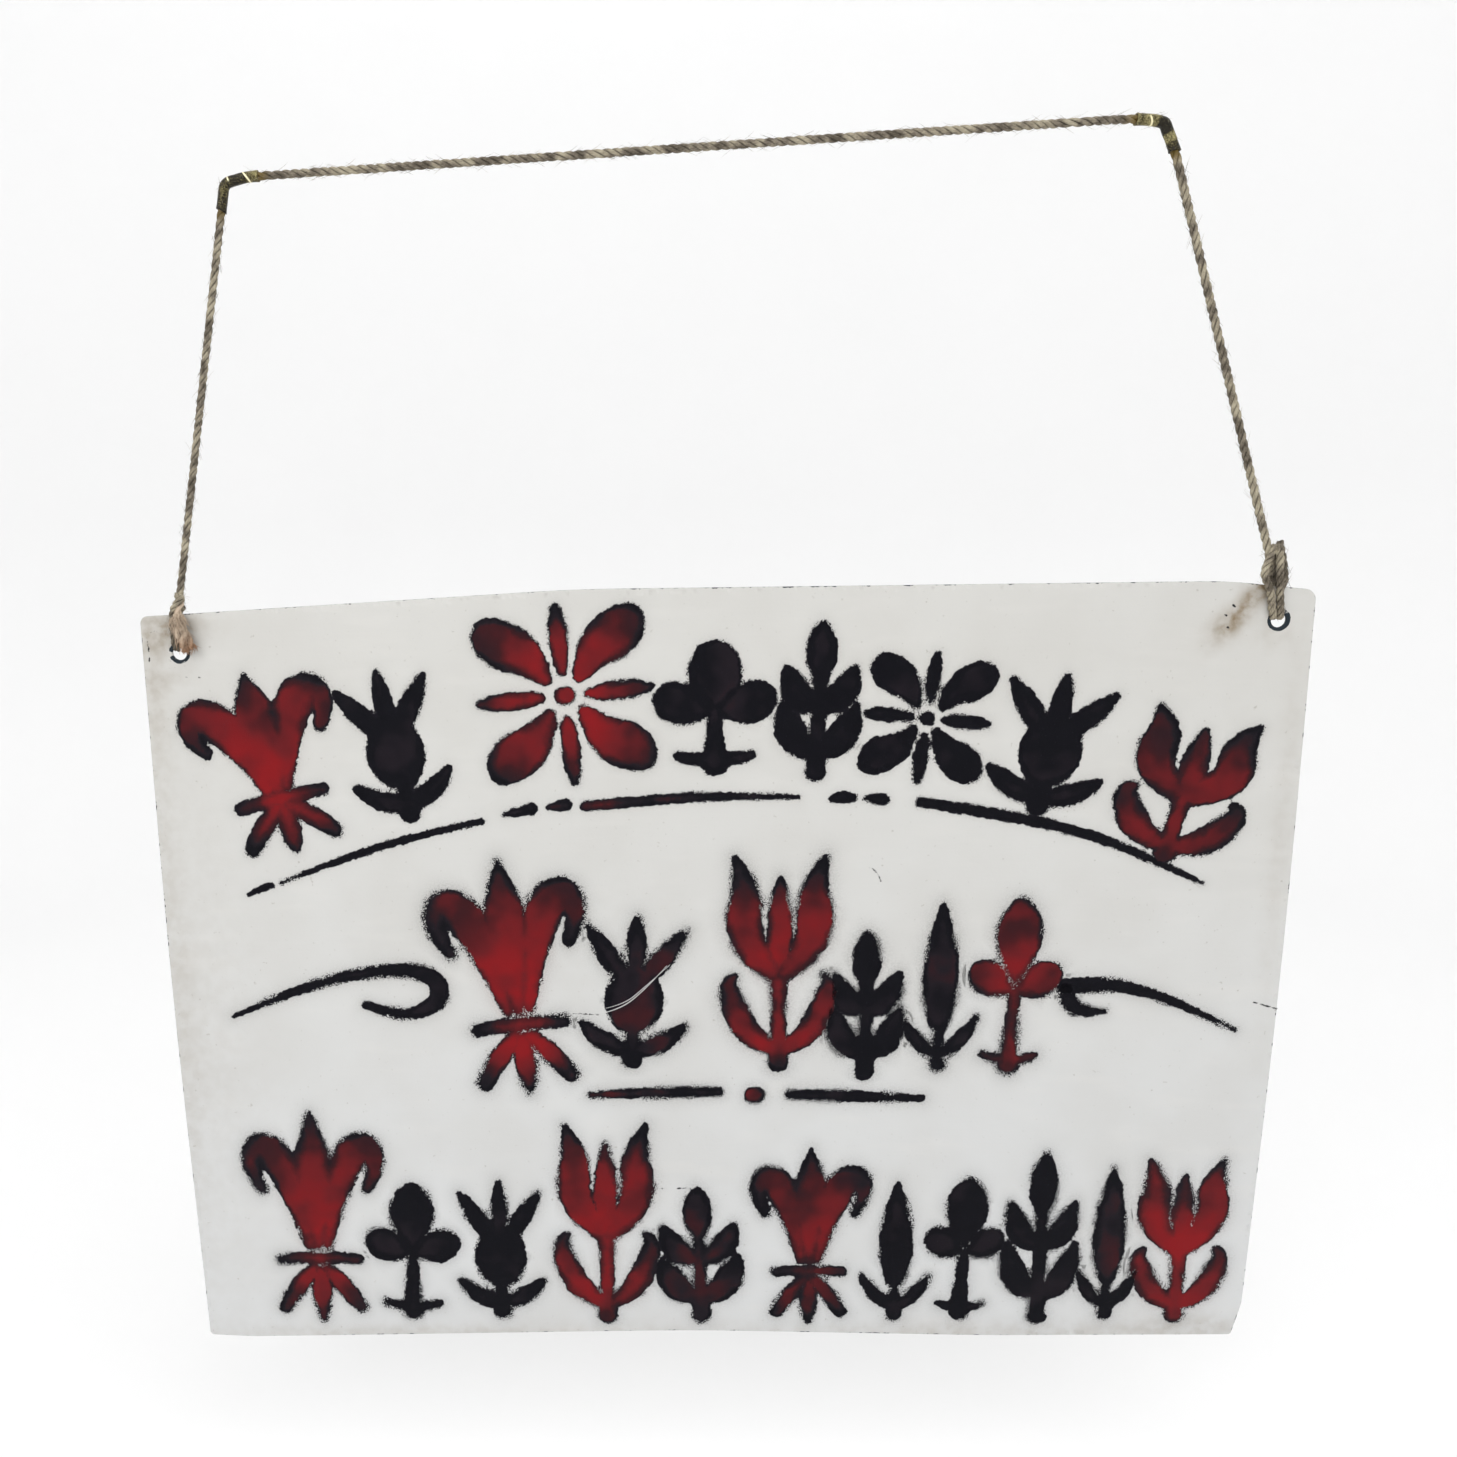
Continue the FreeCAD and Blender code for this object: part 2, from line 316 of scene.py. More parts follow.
def enamel_on_steel(sheet, marks):
    """Air-drying enamel brushed on a steel sheet: off-white, satin, faintly streaked.

    It gives the eye a soft wide highlight, with dirt that kills it in the corners.
    """
    material, tree = new_tree("brushed_enamel_on_steel")
    colour, rough, heights, place = ground_coat(tree, sheet, marks)
    bare = add_node(tree, "Attribute", output="Fac", attribute_name="bare")
    chips = grain(tree, place, 1.2, 3.0)
    bare = add_node(tree, "Math", (bare, chips), operation="ADD")
    bare = add_node(tree, "MapRange", (bare, 1.02, 1.12, 0.0, 1.0), **EASED)
    steel = tuple(sheet.steel_colour)
    colour = add_node(tree, "Mix", {0: bare, 6: colour, 7: steel}, **COLOURS)
    close_tree(tree, colour, rough, heights, **OLD_PAINT)
    return material


def sprayed_paint(sheet, marks):
    """Spray paint through a hand-cut stencil: thin, satin, red under black.

    It gives the eye a bright red middle, a dark rim where the spray met the stencil,
    and an edge that breaks up into specks.
    """
    material, tree = new_tree("stencilled_spray_paint")
    ground, _, heights, place = ground_coat(tree, sheet, marks)
    into = add_node(tree, "Attribute", output="Fac", attribute_name="into")
    lifted = patches(tree, place, 13.0, 2.0, (0.40, 0.62, 0.15, 1.5))
    soft = add_node(tree, "Attribute", output="Fac", attribute_name="soft")
    soft = add_node(tree, "Math", (soft, lifted), operation="MULTIPLY")

    # How far the paint covers, by the distance in from its cut edge, in millimetres
    lumps = patches(tree, place, 1.6, 3.0, (0.3, 0.7, -0.24, 0.24))
    ragged = add_node(tree, "Math", (into, lumps), operation="ADD")
    specks = patches(tree, place, 0.42, 2.0, (0.3, 0.7, -1.1, 1.1))
    torn = add_node(tree, "Math", (specks, soft), operation="MULTIPLY")
    torn = add_node(tree, "Math", (ragged, torn), operation="ADD")
    cover = add_node(tree, "MapRange", (torn, -0.20, 0.20, 0.0, 1.0), **EASED)
    drops = patches(tree, place, 0.5, 1.0, (0.60, 0.68, 0.0, 0.75))
    strewn = add_node(tree, "MapRange", (into, -2.6, 0.0, 0.0, 1.0), **EASED)
    strewn = add_node(tree, "Math", (strewn, soft), operation="MULTIPLY")
    strewn = add_node(tree, "Math", (drops, strewn), operation="MULTIPLY")
    cover = add_node(tree, "Math", (cover, strewn), operation="MAXIMUM")

    # The black gathers along the edge, in a band of uneven width
    band = patches(tree, place, 20.0, 2.0, (0.35, 0.65, 0.45, 1.7))
    rim = add_node(tree, "Math", (ragged, band), operation="DIVIDE")
    rim = add_node(tree, "MapRange", (rim, 0.2, 3.0, 0.40, 0.0), **EASED)
    drift = patches(tree, place, 17.0, 2.0, (0.3, 0.7, -0.16, 0.16))
    ink = add_node(tree, "Attribute", output="Fac", attribute_name="ink")
    ink = add_node(tree, "Math", (ink, drift), operation="ADD")
    ink = add_node(tree, "Math", (ink, rim), operation="ADD")
    paint = paint_colours(tree, ink, marks)
    line = add_node(tree, "MapRange", (ragged, 0.25, 1.0, 0.8, 0.0), **EASED)
    paint = add_node(tree, "Mix", {0: line, 6: paint, 7: linear("#15131A")}, **COLOURS)
    fleck = patches(tree, place, 0.6, 2.0, (0.62, 0.80, 0.0, 0.22))
    paint = add_node(tree, "Mix", {0: fleck, 6: paint, 7: linear("#3A3A44")}, **COLOURS)
    colour = add_node(tree, "Mix", {0: cover, 6: ground, 7: paint}, **COLOURS)
    heights.append((grain(tree, place, 0.45, 2.0), 0.03))
    close_tree(tree, colour, 0.5, heights, **OLD_PAINT)
    return material


def jute(name, twine, opened, fresh):
    """Jute fibre, combed and spun in three plies: dry, matt and hairy.

    It gives the eye pale fibres along each ply, painted shade in the grooves between the plies,
    and orange-brown ends where the fibres have opened.
    """
    material, tree = new_tree(name)
    place = add_node(tree, "TexCoord", output="Object")
    along = add_node(tree, "Attribute", output="Vector", attribute_name="fibre")
    pattern = {"Vector": along, "Scale": 3.2, "Detail": 6.0, "Roughness": 0.65}
    fibres = add_node(tree, "TexNoise", pattern, "Fac")
    patch = patches(tree, place, 6.0, 3.0, (0.35, 0.65, -0.20, 0.20))
    shade = add_node(tree, "Math", (fibres, patch), operation="ADD")
    pale, dark = tuple(twine.pale_colour), tuple(twine.dark_colour)
    stops = ((0.24, dark), (0.44, linear("#80776A")), (0.60, linear("#9D9480")), (0.80, pale))
    colour = add_node(tree, "ValToRGB", (shade,), stops=stops)
    # Painted shade: fibres deep between the plies are darkened towards a dark brown
    depth = add_node(tree, "Attribute", output="Fac", attribute_name="depth")
    painted_groove_shade = add_node(tree, "MapRange", (depth, 0.15, 0.92, 0.88, 0.0), **EASED)
    colour = add_node(tree, "Mix", {0: painted_groove_shade, 6: colour, 7: linear("#322D25")}, **COLOURS)
    colour = add_node(tree, "Mix", {0: fresh, 6: colour, 7: linear("#DCC5AE")}, **COLOURS)
    for value, limits, tint in (
        ("opened", (0.30, 1.0, 0.0, opened), tuple(twine.end_colour)),
        ("stain", (0.0, 1.0, 0.0, 0.75), linear("#6E5A22")),
    ):
        share = add_node(tree, "Attribute", output="Fac", attribute_name=value)
        share = add_node(tree, "MapRange", (share, *limits), **EASED)
        colour = add_node(tree, "Mix", {0: share, 6: colour, 7: tint}, **COLOURS)
    close_tree(tree, colour, 0.85, [(fibres, 0.16)], Specular_IOR_Level=0.2)
    return material


def painted_glint_line(tree, place, glint):
    """1 on a straight line of painted highlight, and 0 off it."""
    (x, z), (slant_x, slant_z), half_width, reach = glint
    middle, slant = (x * MM, 0.0, z * MM), (slant_x, 0.0, slant_z)
    offset = add_node(tree, "VectorMath", (place, middle), operation="SUBTRACT")
    across = add_node(tree, "VectorMath", (offset, slant), "Value", operation="DOT_PRODUCT")
    far = add_node(tree, "VectorMath", (offset,), "Value", operation="LENGTH")
    across = add_node(tree, "Math", (across, 0.0), operation="ABSOLUTE")
    width = (half_width * MM * 0.6, half_width * MM, 1.0, 0.0)
    line = add_node(tree, "MapRange", (across, *width), **EASED)
    length = (reach * MM * 0.8, reach * MM, 1.0, 0.0)
    near = add_node(tree, "MapRange", (far, *length), **EASED)
    return add_node(tree, "Math", (line, near), operation="MULTIPLY")


# Width of the meshes in the net of scratches on the brass, in millimetres
NET_SIZE = 1.1


def tarnished_brass(brass, glints):
    """Thin drawn brass tube, long handled: metal, brown-black tarnish over khaki.

    It gives the eye dark glossy patches of tarnish and painted dark reflection, pale net-like
    scratches, and one or two cream lines of painted highlight.
    """
    material, tree = new_tree("tarnished_brass_tube")
    place = add_node(tree, "TexCoord", output="Object")
    patch = patches(tree, place, 3.4, 3.0, (0.42, 0.60, -0.10, 0.10))
    fine = grain(tree, place, 0.5, 5.0)
    worn = add_node(tree, "MapRange", (fine, 0.35, 0.70, -0.14, 0.26), **EASED)
    # Brightness of the brass from painted dark reflections and tarnish, with patches and wear
    shade = add_node(tree, "Attribute", output="Fac", attribute_name="rubbing")
    shade = add_node(tree, "Math", (shade, patch), operation="ADD")
    shade = add_node(tree, "Math", (shade, worn), operation="ADD")
    pattern = {"Vector": place, "Scale": 1 / (NET_SIZE * MM)}
    cells = add_node(tree, "TexVoronoi", pattern, "Distance", feature="DISTANCE_TO_EDGE")
    net = add_node(tree, "MapRange", (cells, 0.01, 0.07, 0.60, 0.0), **EASED)
    scratched = add_node(tree, "Math", (net, fine), operation="MULTIPLY")
    shade = add_node(tree, "Math", (shade, scratched), operation="ADD")
    tarnish, bright = tuple(brass.tarnish), tuple(brass.bright)
    stops = ((0.15, tarnish), (0.50, linear("#4F4729")), (0.95, bright))
    colour = add_node(tree, "ValToRGB", (shade,), stops=stops)
    # Painted highlights: cream lines where light glints on the tube
    painted_brightness = 0.0
    for glint in glints:
        line = painted_glint_line(tree, place, glint)
        painted_brightness = add_node(tree, "Math", (painted_brightness, line), operation="MAXIMUM")
    colour = add_node(tree, "Mix", {0: painted_brightness, 6: colour, 7: linear("#F3EBC4")}, **COLOURS)
    rough = add_node(tree, "MapRange", (shade, 0.2, 0.9, 0.34, 0.6), **EASED)
    close_tree(tree, colour, rough, [(fine, 0.05), (net, 0.06)], metallic=0.55)
    return material


def matt_paint(stage):
    """Matt wall paint: an even, pale ground that is a little cloudy to the eye."""
    material, tree = new_tree("matt_pale_paint")
    place = add_node(tree, "TexCoord", output="Object")
    tone = patches(tree, place, 300.0, 1.0, (0.3, 0.7, 0.0, 0.15))
    floor = tuple(stage.floor_colour)
    colour = add_node(tree, "Mix", {0: tone, 6: floor, 7: linear("#EFEFEF")}, **COLOURS)
    close_tree(tree, colour, 0.9)
    return material


# Point values that hold three numbers; the others hold one
VECTOR_VALUES = ("fibre",)


def quads_of(index):
    """The four corners of every cell of a grid of point numbers."""
    return np.stack([index[:-1, :-1], index[:-1, 1:], index[1:, 1:], index[1:, :-1]], axis=-1)


class Heap:
    """The points, faces and point values of one piece while it is built."""

    def __init__(self):
        self.points = []
        self.faces = []
        self.values = {}
        self.count = 0

    def add_points(self, points, **values):
        """Adds points, each with its values, and returns the number of the first one."""
        first = self.count
        points = np.asarray(points, float).reshape(-1, 3)
        self.points.append(points)
        self.count += len(points)
        for name, value in values.items():
            value = np.asarray(value, float)
            width = 3 if name in VECTOR_VALUES else 1
            if value.ndim == 0:
                value = np.full(len(points), float(value))
            self.values.setdefault(name, []).append(value.reshape(len(points), width))
        return first

    def add_grid(self, rows, loop=False, capped=True, **values):
        """Adds rings of points joined by quads, and returns the points' numbers.

        A loop joins the last ring to the first one. Without it both ends may be capped.
        """
        along, across = rows.shape[:2]
        first = self.add_points(rows, **values)
        index = first + np.arange(along * across).reshape(along, across)
        closed = np.hstack([index, index[:, :1]])
        if loop:
            closed = np.vstack([closed, closed[:1]])
        self.faces += quads_of(closed).reshape(-1, 4).tolist()
        if capped and not loop:
            self.faces += [index[0, ::-1].tolist(), index[-1].tolist()]
        return index

    def make(self, name, material):
        """Makes the piece, in metres, and lets it ride on the one body."""
        mesh = bpy.data.meshes.new(name)
        mesh.from_pydata((np.vstack(self.points) * MM).tolist(), [], self.faces)
        mesh.polygons.foreach_set("use_smooth", [True] * len(mesh.polygons))
        for label, blocks in self.values.items():
            data = np.vstack(blocks)
            three = data.shape[1] == 3
            stored = mesh.attributes.new(label, "FLOAT_VECTOR" if three else "FLOAT", "POINT")
            numbers = data.ravel().astype(np.float32)
            stored.data.foreach_set("vector" if three else "value", numbers)
        mesh.materials.append(material)
        mesh.update()
        piece = bpy.data.objects.new(name, mesh)
        bpy.context.scene.collection.objects.link(piece)
        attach(piece, "root")
        return piece


def run_along(path):
    """How far along a path each of its points lies."""
    return np.concatenate([[0.0], np.cumsum(np.linalg.norm(np.diff(path, axis=0), axis=1))])


def even_steps(points, step):
    """The same line with its points evenly spaced, about one step apart."""
    run = run_along(points)
    count = max(int(round(run[-1] / step)), 2) + 1
    wanted = np.linspace(0.0, run[-1], count)
    return np.stack([np.interp(wanted, run, points[:, k]) for k in range(points.shape[1])], axis=1)


def smooth_line(points, step):
    """A NURBS spline over the points of a route, read back as even steps."""
    curve = bpy.data.curves.new("route", "CURVE")
    curve.dimensions = "3D"
    curve.resolution_u = 32
    spline = curve.splines.new("NURBS")
    spline.points.add(len(points) - 1)
    for knot, (x, y, z) in zip(spline.points, points):
        knot.co = (x * MM, y * MM, z * MM, 1.0)
    spline.order_u = 3
    spline.use_endpoint_u = True
    holder = bpy.data.objects.new("route", curve)
    line = bpy.data.meshes.new_from_object(holder)
    read = np.array([v.co for v in line.vertices], float) / MM
    bpy.data.objects.remove(holder)
    bpy.data.meshes.remove(line)
    bpy.data.curves.remove(curve)
    return even_steps(read, step)


def directions(path):
    """Unit tangents of a path, and two directions across it that don't twist."""
    tangents = np.gradient(path, axis=0)
    tangents /= np.linalg.norm(tangents, axis=1)[:, None]
    side = np.cross(tangents[0], (0.0, 1.0, 0.0))
    if np.linalg.norm(side) < 0.1:
        side = np.cross(tangents[0], (1.0, 0.0, 0.0))
    sides = []
    for tangent in tangents:
        side = side - np.dot(side, tangent) * tangent
        side = side / np.linalg.norm(side)
        sides.append(side)
    sides = np.array(sides)
    return tangents, sides, np.cross(tangents, sides)


def around(turns, sides, ups):
    """Directions across a path, each at its angle round it."""
    return np.cos(turns)[..., None] * sides + np.sin(turns)[..., None] * ups


# How fast the shades of the fibres change along them, for each millimetre
FIBRE_PACE = 0.22


def tube(heap, path, radius, corners, spin=0.0, **values):
    """Adds a round tube along a path, and returns its rings.

    Spin turns the fibres round it, in turns for each millimetre.
    """
    count = len(path)
    radius = np.broadcast_to(np.asarray(radius, float), (count,))
    sides, ups = directions(path)[1:]
    run = run_along(path)
    turn = np.arange(corners) / corners * math.tau
    ring = around(turn[None], sides[:, None], ups[:, None])
    rows = path[:, None] + ring * radius[:, None, None]
    phase = turn[None, :] + run[:, None] * spin * math.tau
    length = np.broadcast_to(run[:, None] * FIBRE_PACE, phase.shape)
    fibre = np.stack([np.cos(phase), np.sin(phase), length], axis=-1)
    spread = {
        name: np.repeat(np.broadcast_to(value, (count,))[:, None], corners, axis=1)
        for name, value in values.items()
    }
    heap.add_grid(rows, fibre=fibre, **spread)
    return rows


# Plies of the twine, sides of each, and turns of its fibres for each millimetre
PLIES = 3
PLY_CORNERS = 9
PLY_SPIN = 0.13


def rope(heap, path, diameter, lay, seed, width=1.0, open_by=0.0, opened=0.0, stain=0.0):
    """Plies laid round a path. Width and open_by swell it and part its plies, for each point."""
    count = len(path)
    sides, ups = directions(path)[1:]
    run = run_along(path)
    width = np.broadcast_to(np.asarray(width, float), (count,))
    open_by = np.broadcast_to(np.asarray(open_by, float), (count,))
    ply_radius = diameter / 2 * 0.50 * width
    reach = ply_radius + open_by
    wander = np.array([noise.noise((s * 0.09, seed * 3.1, 0.0)) for s in run])
    for ply in range(PLIES):
        turn = (run / lay + ply / PLIES) * math.tau + wander * 1.1
        swell = np.array([noise.noise((s * 0.35, seed + ply * 7.7, 2.0)) for s in run])
        centre = path + reach[:, None] * around(turn, sides, ups)
        radius = ply_radius * (1.0 + 0.13 * swell)
        rows = tube(heap, centre, radius, PLY_CORNERS, PLY_SPIN, opened=opened, stain=stain)
        # How far out each point of a ply lies, which the material turns into painted shade in the
        # grooves
        out = np.linalg.norm(rows - path[:, None], axis=2) / (reach + radius)[:, None]
        depth = np.clip((out - 0.42) / 0.55, 0.0, 1.0)
        heap.values.setdefault("depth", []).append(depth.reshape(-1, 1))


# How steeply loose fibres rise from the twine, and how thick they are along their length
HAIR_LIFT = 0.5
HAIR_TAPER = (1.0, 0.9, 0.7, 0.25)


def hairs(heap, path, radius, count, reach, seed):
    """Loose fibres that stand off a rope, each a thin tapered tube of three short lengths."""
    rng = np.random.default_rng(seed)
    tangents, sides, ups = directions(path)
    for _ in range(count):
        at = rng.integers(0, len(path) - 1)
        turn = rng.uniform(0.0, math.tau)
        out = math.cos(turn) * sides[at] + math.sin(turn) * ups[at]
        across = np.cross(out, tangents[at]) * rng.choice((-1.0, 1.0))
        length = rng.uniform(*reach)
        way = tangents[at] * rng.choice((-1.0, 1.0)) + across * rng.uniform(0.0, 0.6)
        curl = rng.uniform(-0.5, 0.7) * HAIR_LIFT
        rise = rng.uniform(0.1, 1.0) * HAIR_LIFT
        start = path[at] + out * radius * 0.86
        points = [
            start + way * length * s + out * length * (rise * s + curl * s**2 * 0.6)
            for s in np.linspace(0.0, 1.0, len(HAIR_TAPER))
        ]
        thick = rng.uniform(0.03, 0.06) * np.array(HAIR_TAPER)
        tube(heap, np.array(points), thick, 3, opened=0.0, stain=0.0, depth=1.0)


def inside(points, outline):
    """Which points lie inside a closed outline."""
    x, z = points[:, 0], points[:, 1]
    found = np.zeros(len(points), bool)
    for (x0, z0), (x1, z1) in zip(outline, np.roll(outline, -1, axis=0)):
        if z0 == z1:
            continue
        crosses = (z0 > z) != (z1 > z)
        found ^= crosses & (x < (x1 - x0) * (z - z0) / (z1 - z0) + x0)
    return found


def front_loops():
    """The outline of the sheet's front and of its holes, read from the CAD node, longest first."""
    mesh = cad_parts["plate"].data
    corner = {}
    for vertex in mesh.vertices:
        x, y, z = vertex.co / MM
        if abs(y - FRONT) < 0.01:
            corner[vertex.index] = (round(x, 3), round(z, 3))
    sides = {}
    for polygon in mesh.polygons:
        if all(v in corner for v in polygon.vertices):
            around = [corner[v] for v in polygon.vertices]
            for first, second in zip(around, around[1:] + around[:1]):
                sides[(first, second)] = sides.get((first, second), 0) + 1
    following = {a: b for (a, b) in sides if (b, a) not in sides and a != b}
    loops = []
    while following:
        start, here = next(iter(following.items()))
        loop = [start]
        del following[start]
        while here != start:
            loop.append(here)
            here = following.pop(here)
        loops.append(np.array(loop))
    if len(loops) != 3:
        raise RuntimeError(f"the front of the sheet has {len(loops)} outlines, and not 3")
    return sorted(loops, key=len_of_loop, reverse=True)


def len_of_loop(loop):
    """The length of a closed loop."""
    return np.linalg.norm(loop - np.roll(loop, -1, axis=0), axis=1).sum()


def divided(loop, step):
    """A closed loop with its long sides divided, and its corners kept."""
    points = []
    for a, b in zip(loop, np.roll(loop, -1, axis=0)):
        parts = max(int(math.ceil(np.linalg.norm(b - a) / step)), 1)
        points += [a + (b - a) * k / parts for k in range(parts)]
    return np.array(points)


def inward(loop, is_hole):
    """The direction from each point of a loop into the sheet."""
    tangent = np.roll(loop, -1, axis=0) - np.roll(loop, 1, axis=0)
    tangent /= np.linalg.norm(tangent, axis=1)[:, None]
    normal = np.stack([-tangent[:, 1], tangent[:, 0]], axis=1)
    towards = loop.mean(axis=0) - loop
    sign = np.sign((normal * towards).sum(axis=1).mean())
    return normal * sign * (-1.0 if is_hole else 1.0)


def ripple(x, z, height):
    """How far the thin sheet strays from flat."""
    wave = np.sin(x / 61.0 + 0.7) * np.cos(z / 83.0) + 0.6 * np.sin(x / 29.0 - z / 41.0)
    return height * wave * 0.6


# Each soft stain: middle x and z, half lengths, lean in degrees, strength
STAINS = (
    (-203.0, 138.0, 12.0, 8.0, 20.0, 0.30),
    (-207.0, -10.0, 26.0, 120.0, 0.0, 0.10),
    (0.0, -152.0, 230.0, 8.0, 0.0, 0.12),
    (-206.0, 118.0, 5.0, 22.0, 0.0, 0.20),
    (-199.0, 122.0, 9.0, 3.5, 10.0, 0.16),
    (-196.0, 141.0, 14.0, 6.0, 0.0, 0.24),
    (-198.5, 139.0, 3.5, 5.0, 0.0, 0.30),
    (-207.0, 20.0, 5.0, 120.0, 0.0, 0.10),
    (183.5, 137.0, 11.5, 3.6, 48.0, 0.75),
    (190.0, 144.5, 5.0, 4.0, 30.0, 0.80),
    (179.0, 132.5, 7.0, 5.0, 30.0, 0.35),
    (195.5, 130.0, 6.0, 6.0, 0.0, 0.22),
    (120.0, -149.0, 95.0, 4.5, 0.0, 0.14),
    (190.0, -146.0, 22.0, 6.0, 0.0, 0.20),
    (-120.0, -149.0, 80.0, 3.0, 0.0, 0.16),
    (205.0, 60.0, 4.0, 70.0, 0.0, 0.12),
    (-54.0, 20.0, 60.0, 20.0, 0.0, 0.05),
)


def dirt_at(x, z):
    """How dirty the enamel is at each place."""
    total = np.zeros_like(x)
    for middle_x, middle_z, half_x, half_z, lean, strength in STAINS:
        turn = math.radians(lean)
        along = (x - middle_x) * math.cos(turn) + (z - middle_z) * math.sin(turn)
        across = (z - middle_z) * math.cos(turn) - (x - middle_x) * math.sin(turn)
        total += strength * np.exp(-((along / half_x) ** 2) - (across / half_z) ** 2)
    return np.clip(total, 0.0, 1.0)


# Strength of the mist at the edge of a mark with soft edges
MIST_STRENGTH = 0.32


class Spray:
    """The discs that every stencilled stroke is made of, to work out the mist round them."""

    def __init__(self):
        self.discs = []
        self.tree = None

    def note(self, discs, softness):
        """Keeps the discs of one stroke."""
        self.discs += [(*disc, softness) for disc in discs.tolist()]

    def settle(self):
        """Builds the search tree, once all strokes are known."""
        self.tree = KDTree(len(self.discs))
        for number, (x, z, *_) in enumerate(self.discs):
            self.tree.insert((x, 0.0, z), number)
        self.tree.balance()

    def mist_at(self, x, z, reach):
        """The strength and ink of the mist at each place."""
        strength = np.zeros(len(x))
        ink = np.ones(len(x))
        for k in range(len(x)):
            found = self.tree.find_n((x[k], 0.0, z[k]), 6)
            gaps = [max(far - self.discs[number][2], 0.0) for _, number, far in found]
            gap = min(gaps)
            *_, disc_ink, soft = self.discs[found[gaps.index(gap)][1]]
            strength[k] = MIST_STRENGTH * soft * math.exp(-((gap / (reach * (0.4 + soft))) ** 1.2))
            ink[k] = min(disc_ink + 0.30, 1.0)
        return strength, ink


spray = Spray()


def weathering(x, z, reach):
    """Point values for the dirt and the paint mist on the enamel at each place."""
    mist, mist_ink = spray.mist_at(x, z, reach)
    return {"dirt": dirt_at(x, z), "mist": mist, "mist_ink": mist_ink}


# Strokes of each motif: control points (x, z) as shares of the motif's width and height,
# and the half width at each as a share of its width. A stroke off the middle is mirrored.
FLEUR = (
    (((0.00, -0.13), (0.00, 0.10), (0.00, 0.30), (0.00, 0.50)), (0.05, 0.17, 0.16, 0.02)),
    (
        ((0.07, -0.13), (0.13, 0.06), (0.27, 0.30), (0.43, 0.36), (0.50, 0.24), (0.41, 0.14)),
        (0.05, 0.09, 0.15, 0.11, 0.07, 0.05),
    ),
    (((0.00, -0.20), (0.17, -0.195), (0.30, -0.205)), (0.055, 0.055, 0.05)),
    (((0.00, -0.26), (0.00, -0.37), (0.00, -0.50)), (0.05, 0.12, 0.03)),
    (((0.05, -0.25), (0.17, -0.32), (0.30, -0.44)), (0.05, 0.09, 0.06)),
)
TULIP = (
    (((0.00, -0.03), (0.00, 0.16), (0.00, 0.40)), (0.06, 0.17, 0.03)),
    (
        ((0.05, -0.05), (0.22, 0.02), (0.34, 0.18), (0.28, 0.34), (0.40, 0.50)),
        (0.09, 0.12, 0.16, 0.13, 0.03),
    ),
    (((0.00, -0.10), (0.00, -0.30), (0.00, -0.50)), (0.08, 0.05, 0.09)),
    (
        ((0.05, -0.43), (0.24, -0.38), (0.40, -0.24), (0.47, -0.10), (0.40, -0.07)),
        (0.06, 0.11, 0.12, 0.07, 0.04),
    ),
)
THISTLE = (
    (((0.00, -0.20), (0.00, -0.08), (0.00, 0.06)), (0.14, 0.34, 0.16)),
    (((0.00, 0.08), (0.00, 0.30), (0.00, 0.50)), (0.05, 0.13, 0.03)),
    (((0.08, 0.07), (0.24, 0.22), (0.44, 0.42)), (0.06, 0.14, 0.03)),
    (((0.00, -0.24), (0.00, -0.38), (0.00, -0.49)), (0.07, 0.06, 0.09)),
    (((0.04, -0.42), (0.26, -0.40), (0.46, -0.25)), (0.06, 0.13, 0.04)),
)
LEAF = (
    (((0.00, -0.22), (0.00, 0.08), (0.00, 0.50)), (0.11, 0.29, 0.03)),
    (((0.00, -0.24), (0.00, -0.38), (0.00, -0.49)), (0.06, 0.06, 0.09)),
    (((0.05, -0.42), (0.34, -0.38), (0.60, -0.20)), (0.06, 0.12, 0.04)),
)
QUATREFOIL = (
    (((0.10, 0.10), (0.20, 0.26), (0.38, 0.34), (0.42, 0.40)), (0.04, 0.12, 0.16, 0.08)),
    (((0.10, -0.10), (0.20, -0.26), (0.38, -0.34), (0.42, -0.40)), (0.04, 0.12, 0.16, 0.08)),
    (((-0.01, 0.00), (0.00, 0.00), (0.01, 0.00)), (0.055, 0.055, 0.055)),
    (((0.14, 0.00), (0.32, 0.00), (0.50, 0.00)), (0.03, 0.09, 0.03)),
    (((0.00, 0.14), (0.00, 0.32), (0.00, 0.50)), (0.03, 0.09, 0.03)),
    (((0.00, -0.14), (0.00, -0.32), (0.00, -0.50)), (0.03, 0.09, 0.03)),
)
SPRIG = (
    (((0.00, -0.50), (0.00, -0.15), (0.00, 0.16)), (0.10, 0.06, 0.07)),
    (((0.00, 0.14), (0.00, 0.32), (0.00, 0.50)), (0.06, 0.24, 0.03)),
    (
        ((0.04, -0.36), (0.22, -0.33), (0.40, -0.20), (0.48, -0.05)),
        (0.06, 0.14, 0.15, 0.04),
    ),
    (
        ((0.04, -0.06), (0.20, -0.03), (0.36, 0.08), (0.44, 0.20)),
        (0.06, 0.13, 0.14, 0.04),
    ),
)
TREFOIL = (
    (((0.00, 0.02), (0.00, 0.20), (0.00, 0.34), (0.00, 0.46)), (0.05, 0.18, 0.24, 0.10)),
    (((0.06, -0.03), (0.22, 0.00), (0.36, 0.05), (0.44, 0.08)), (0.05, 0.14, 0.19, 0.08)),
    (((0.00, -0.05), (0.00, -0.26), (0.00, -0.49)), (0.06, 0.06, 0.11)),
    (((0.00, -0.46), (0.18, -0.46), (0.32, -0.43)), (0.07, 0.06, 0.04)),
)

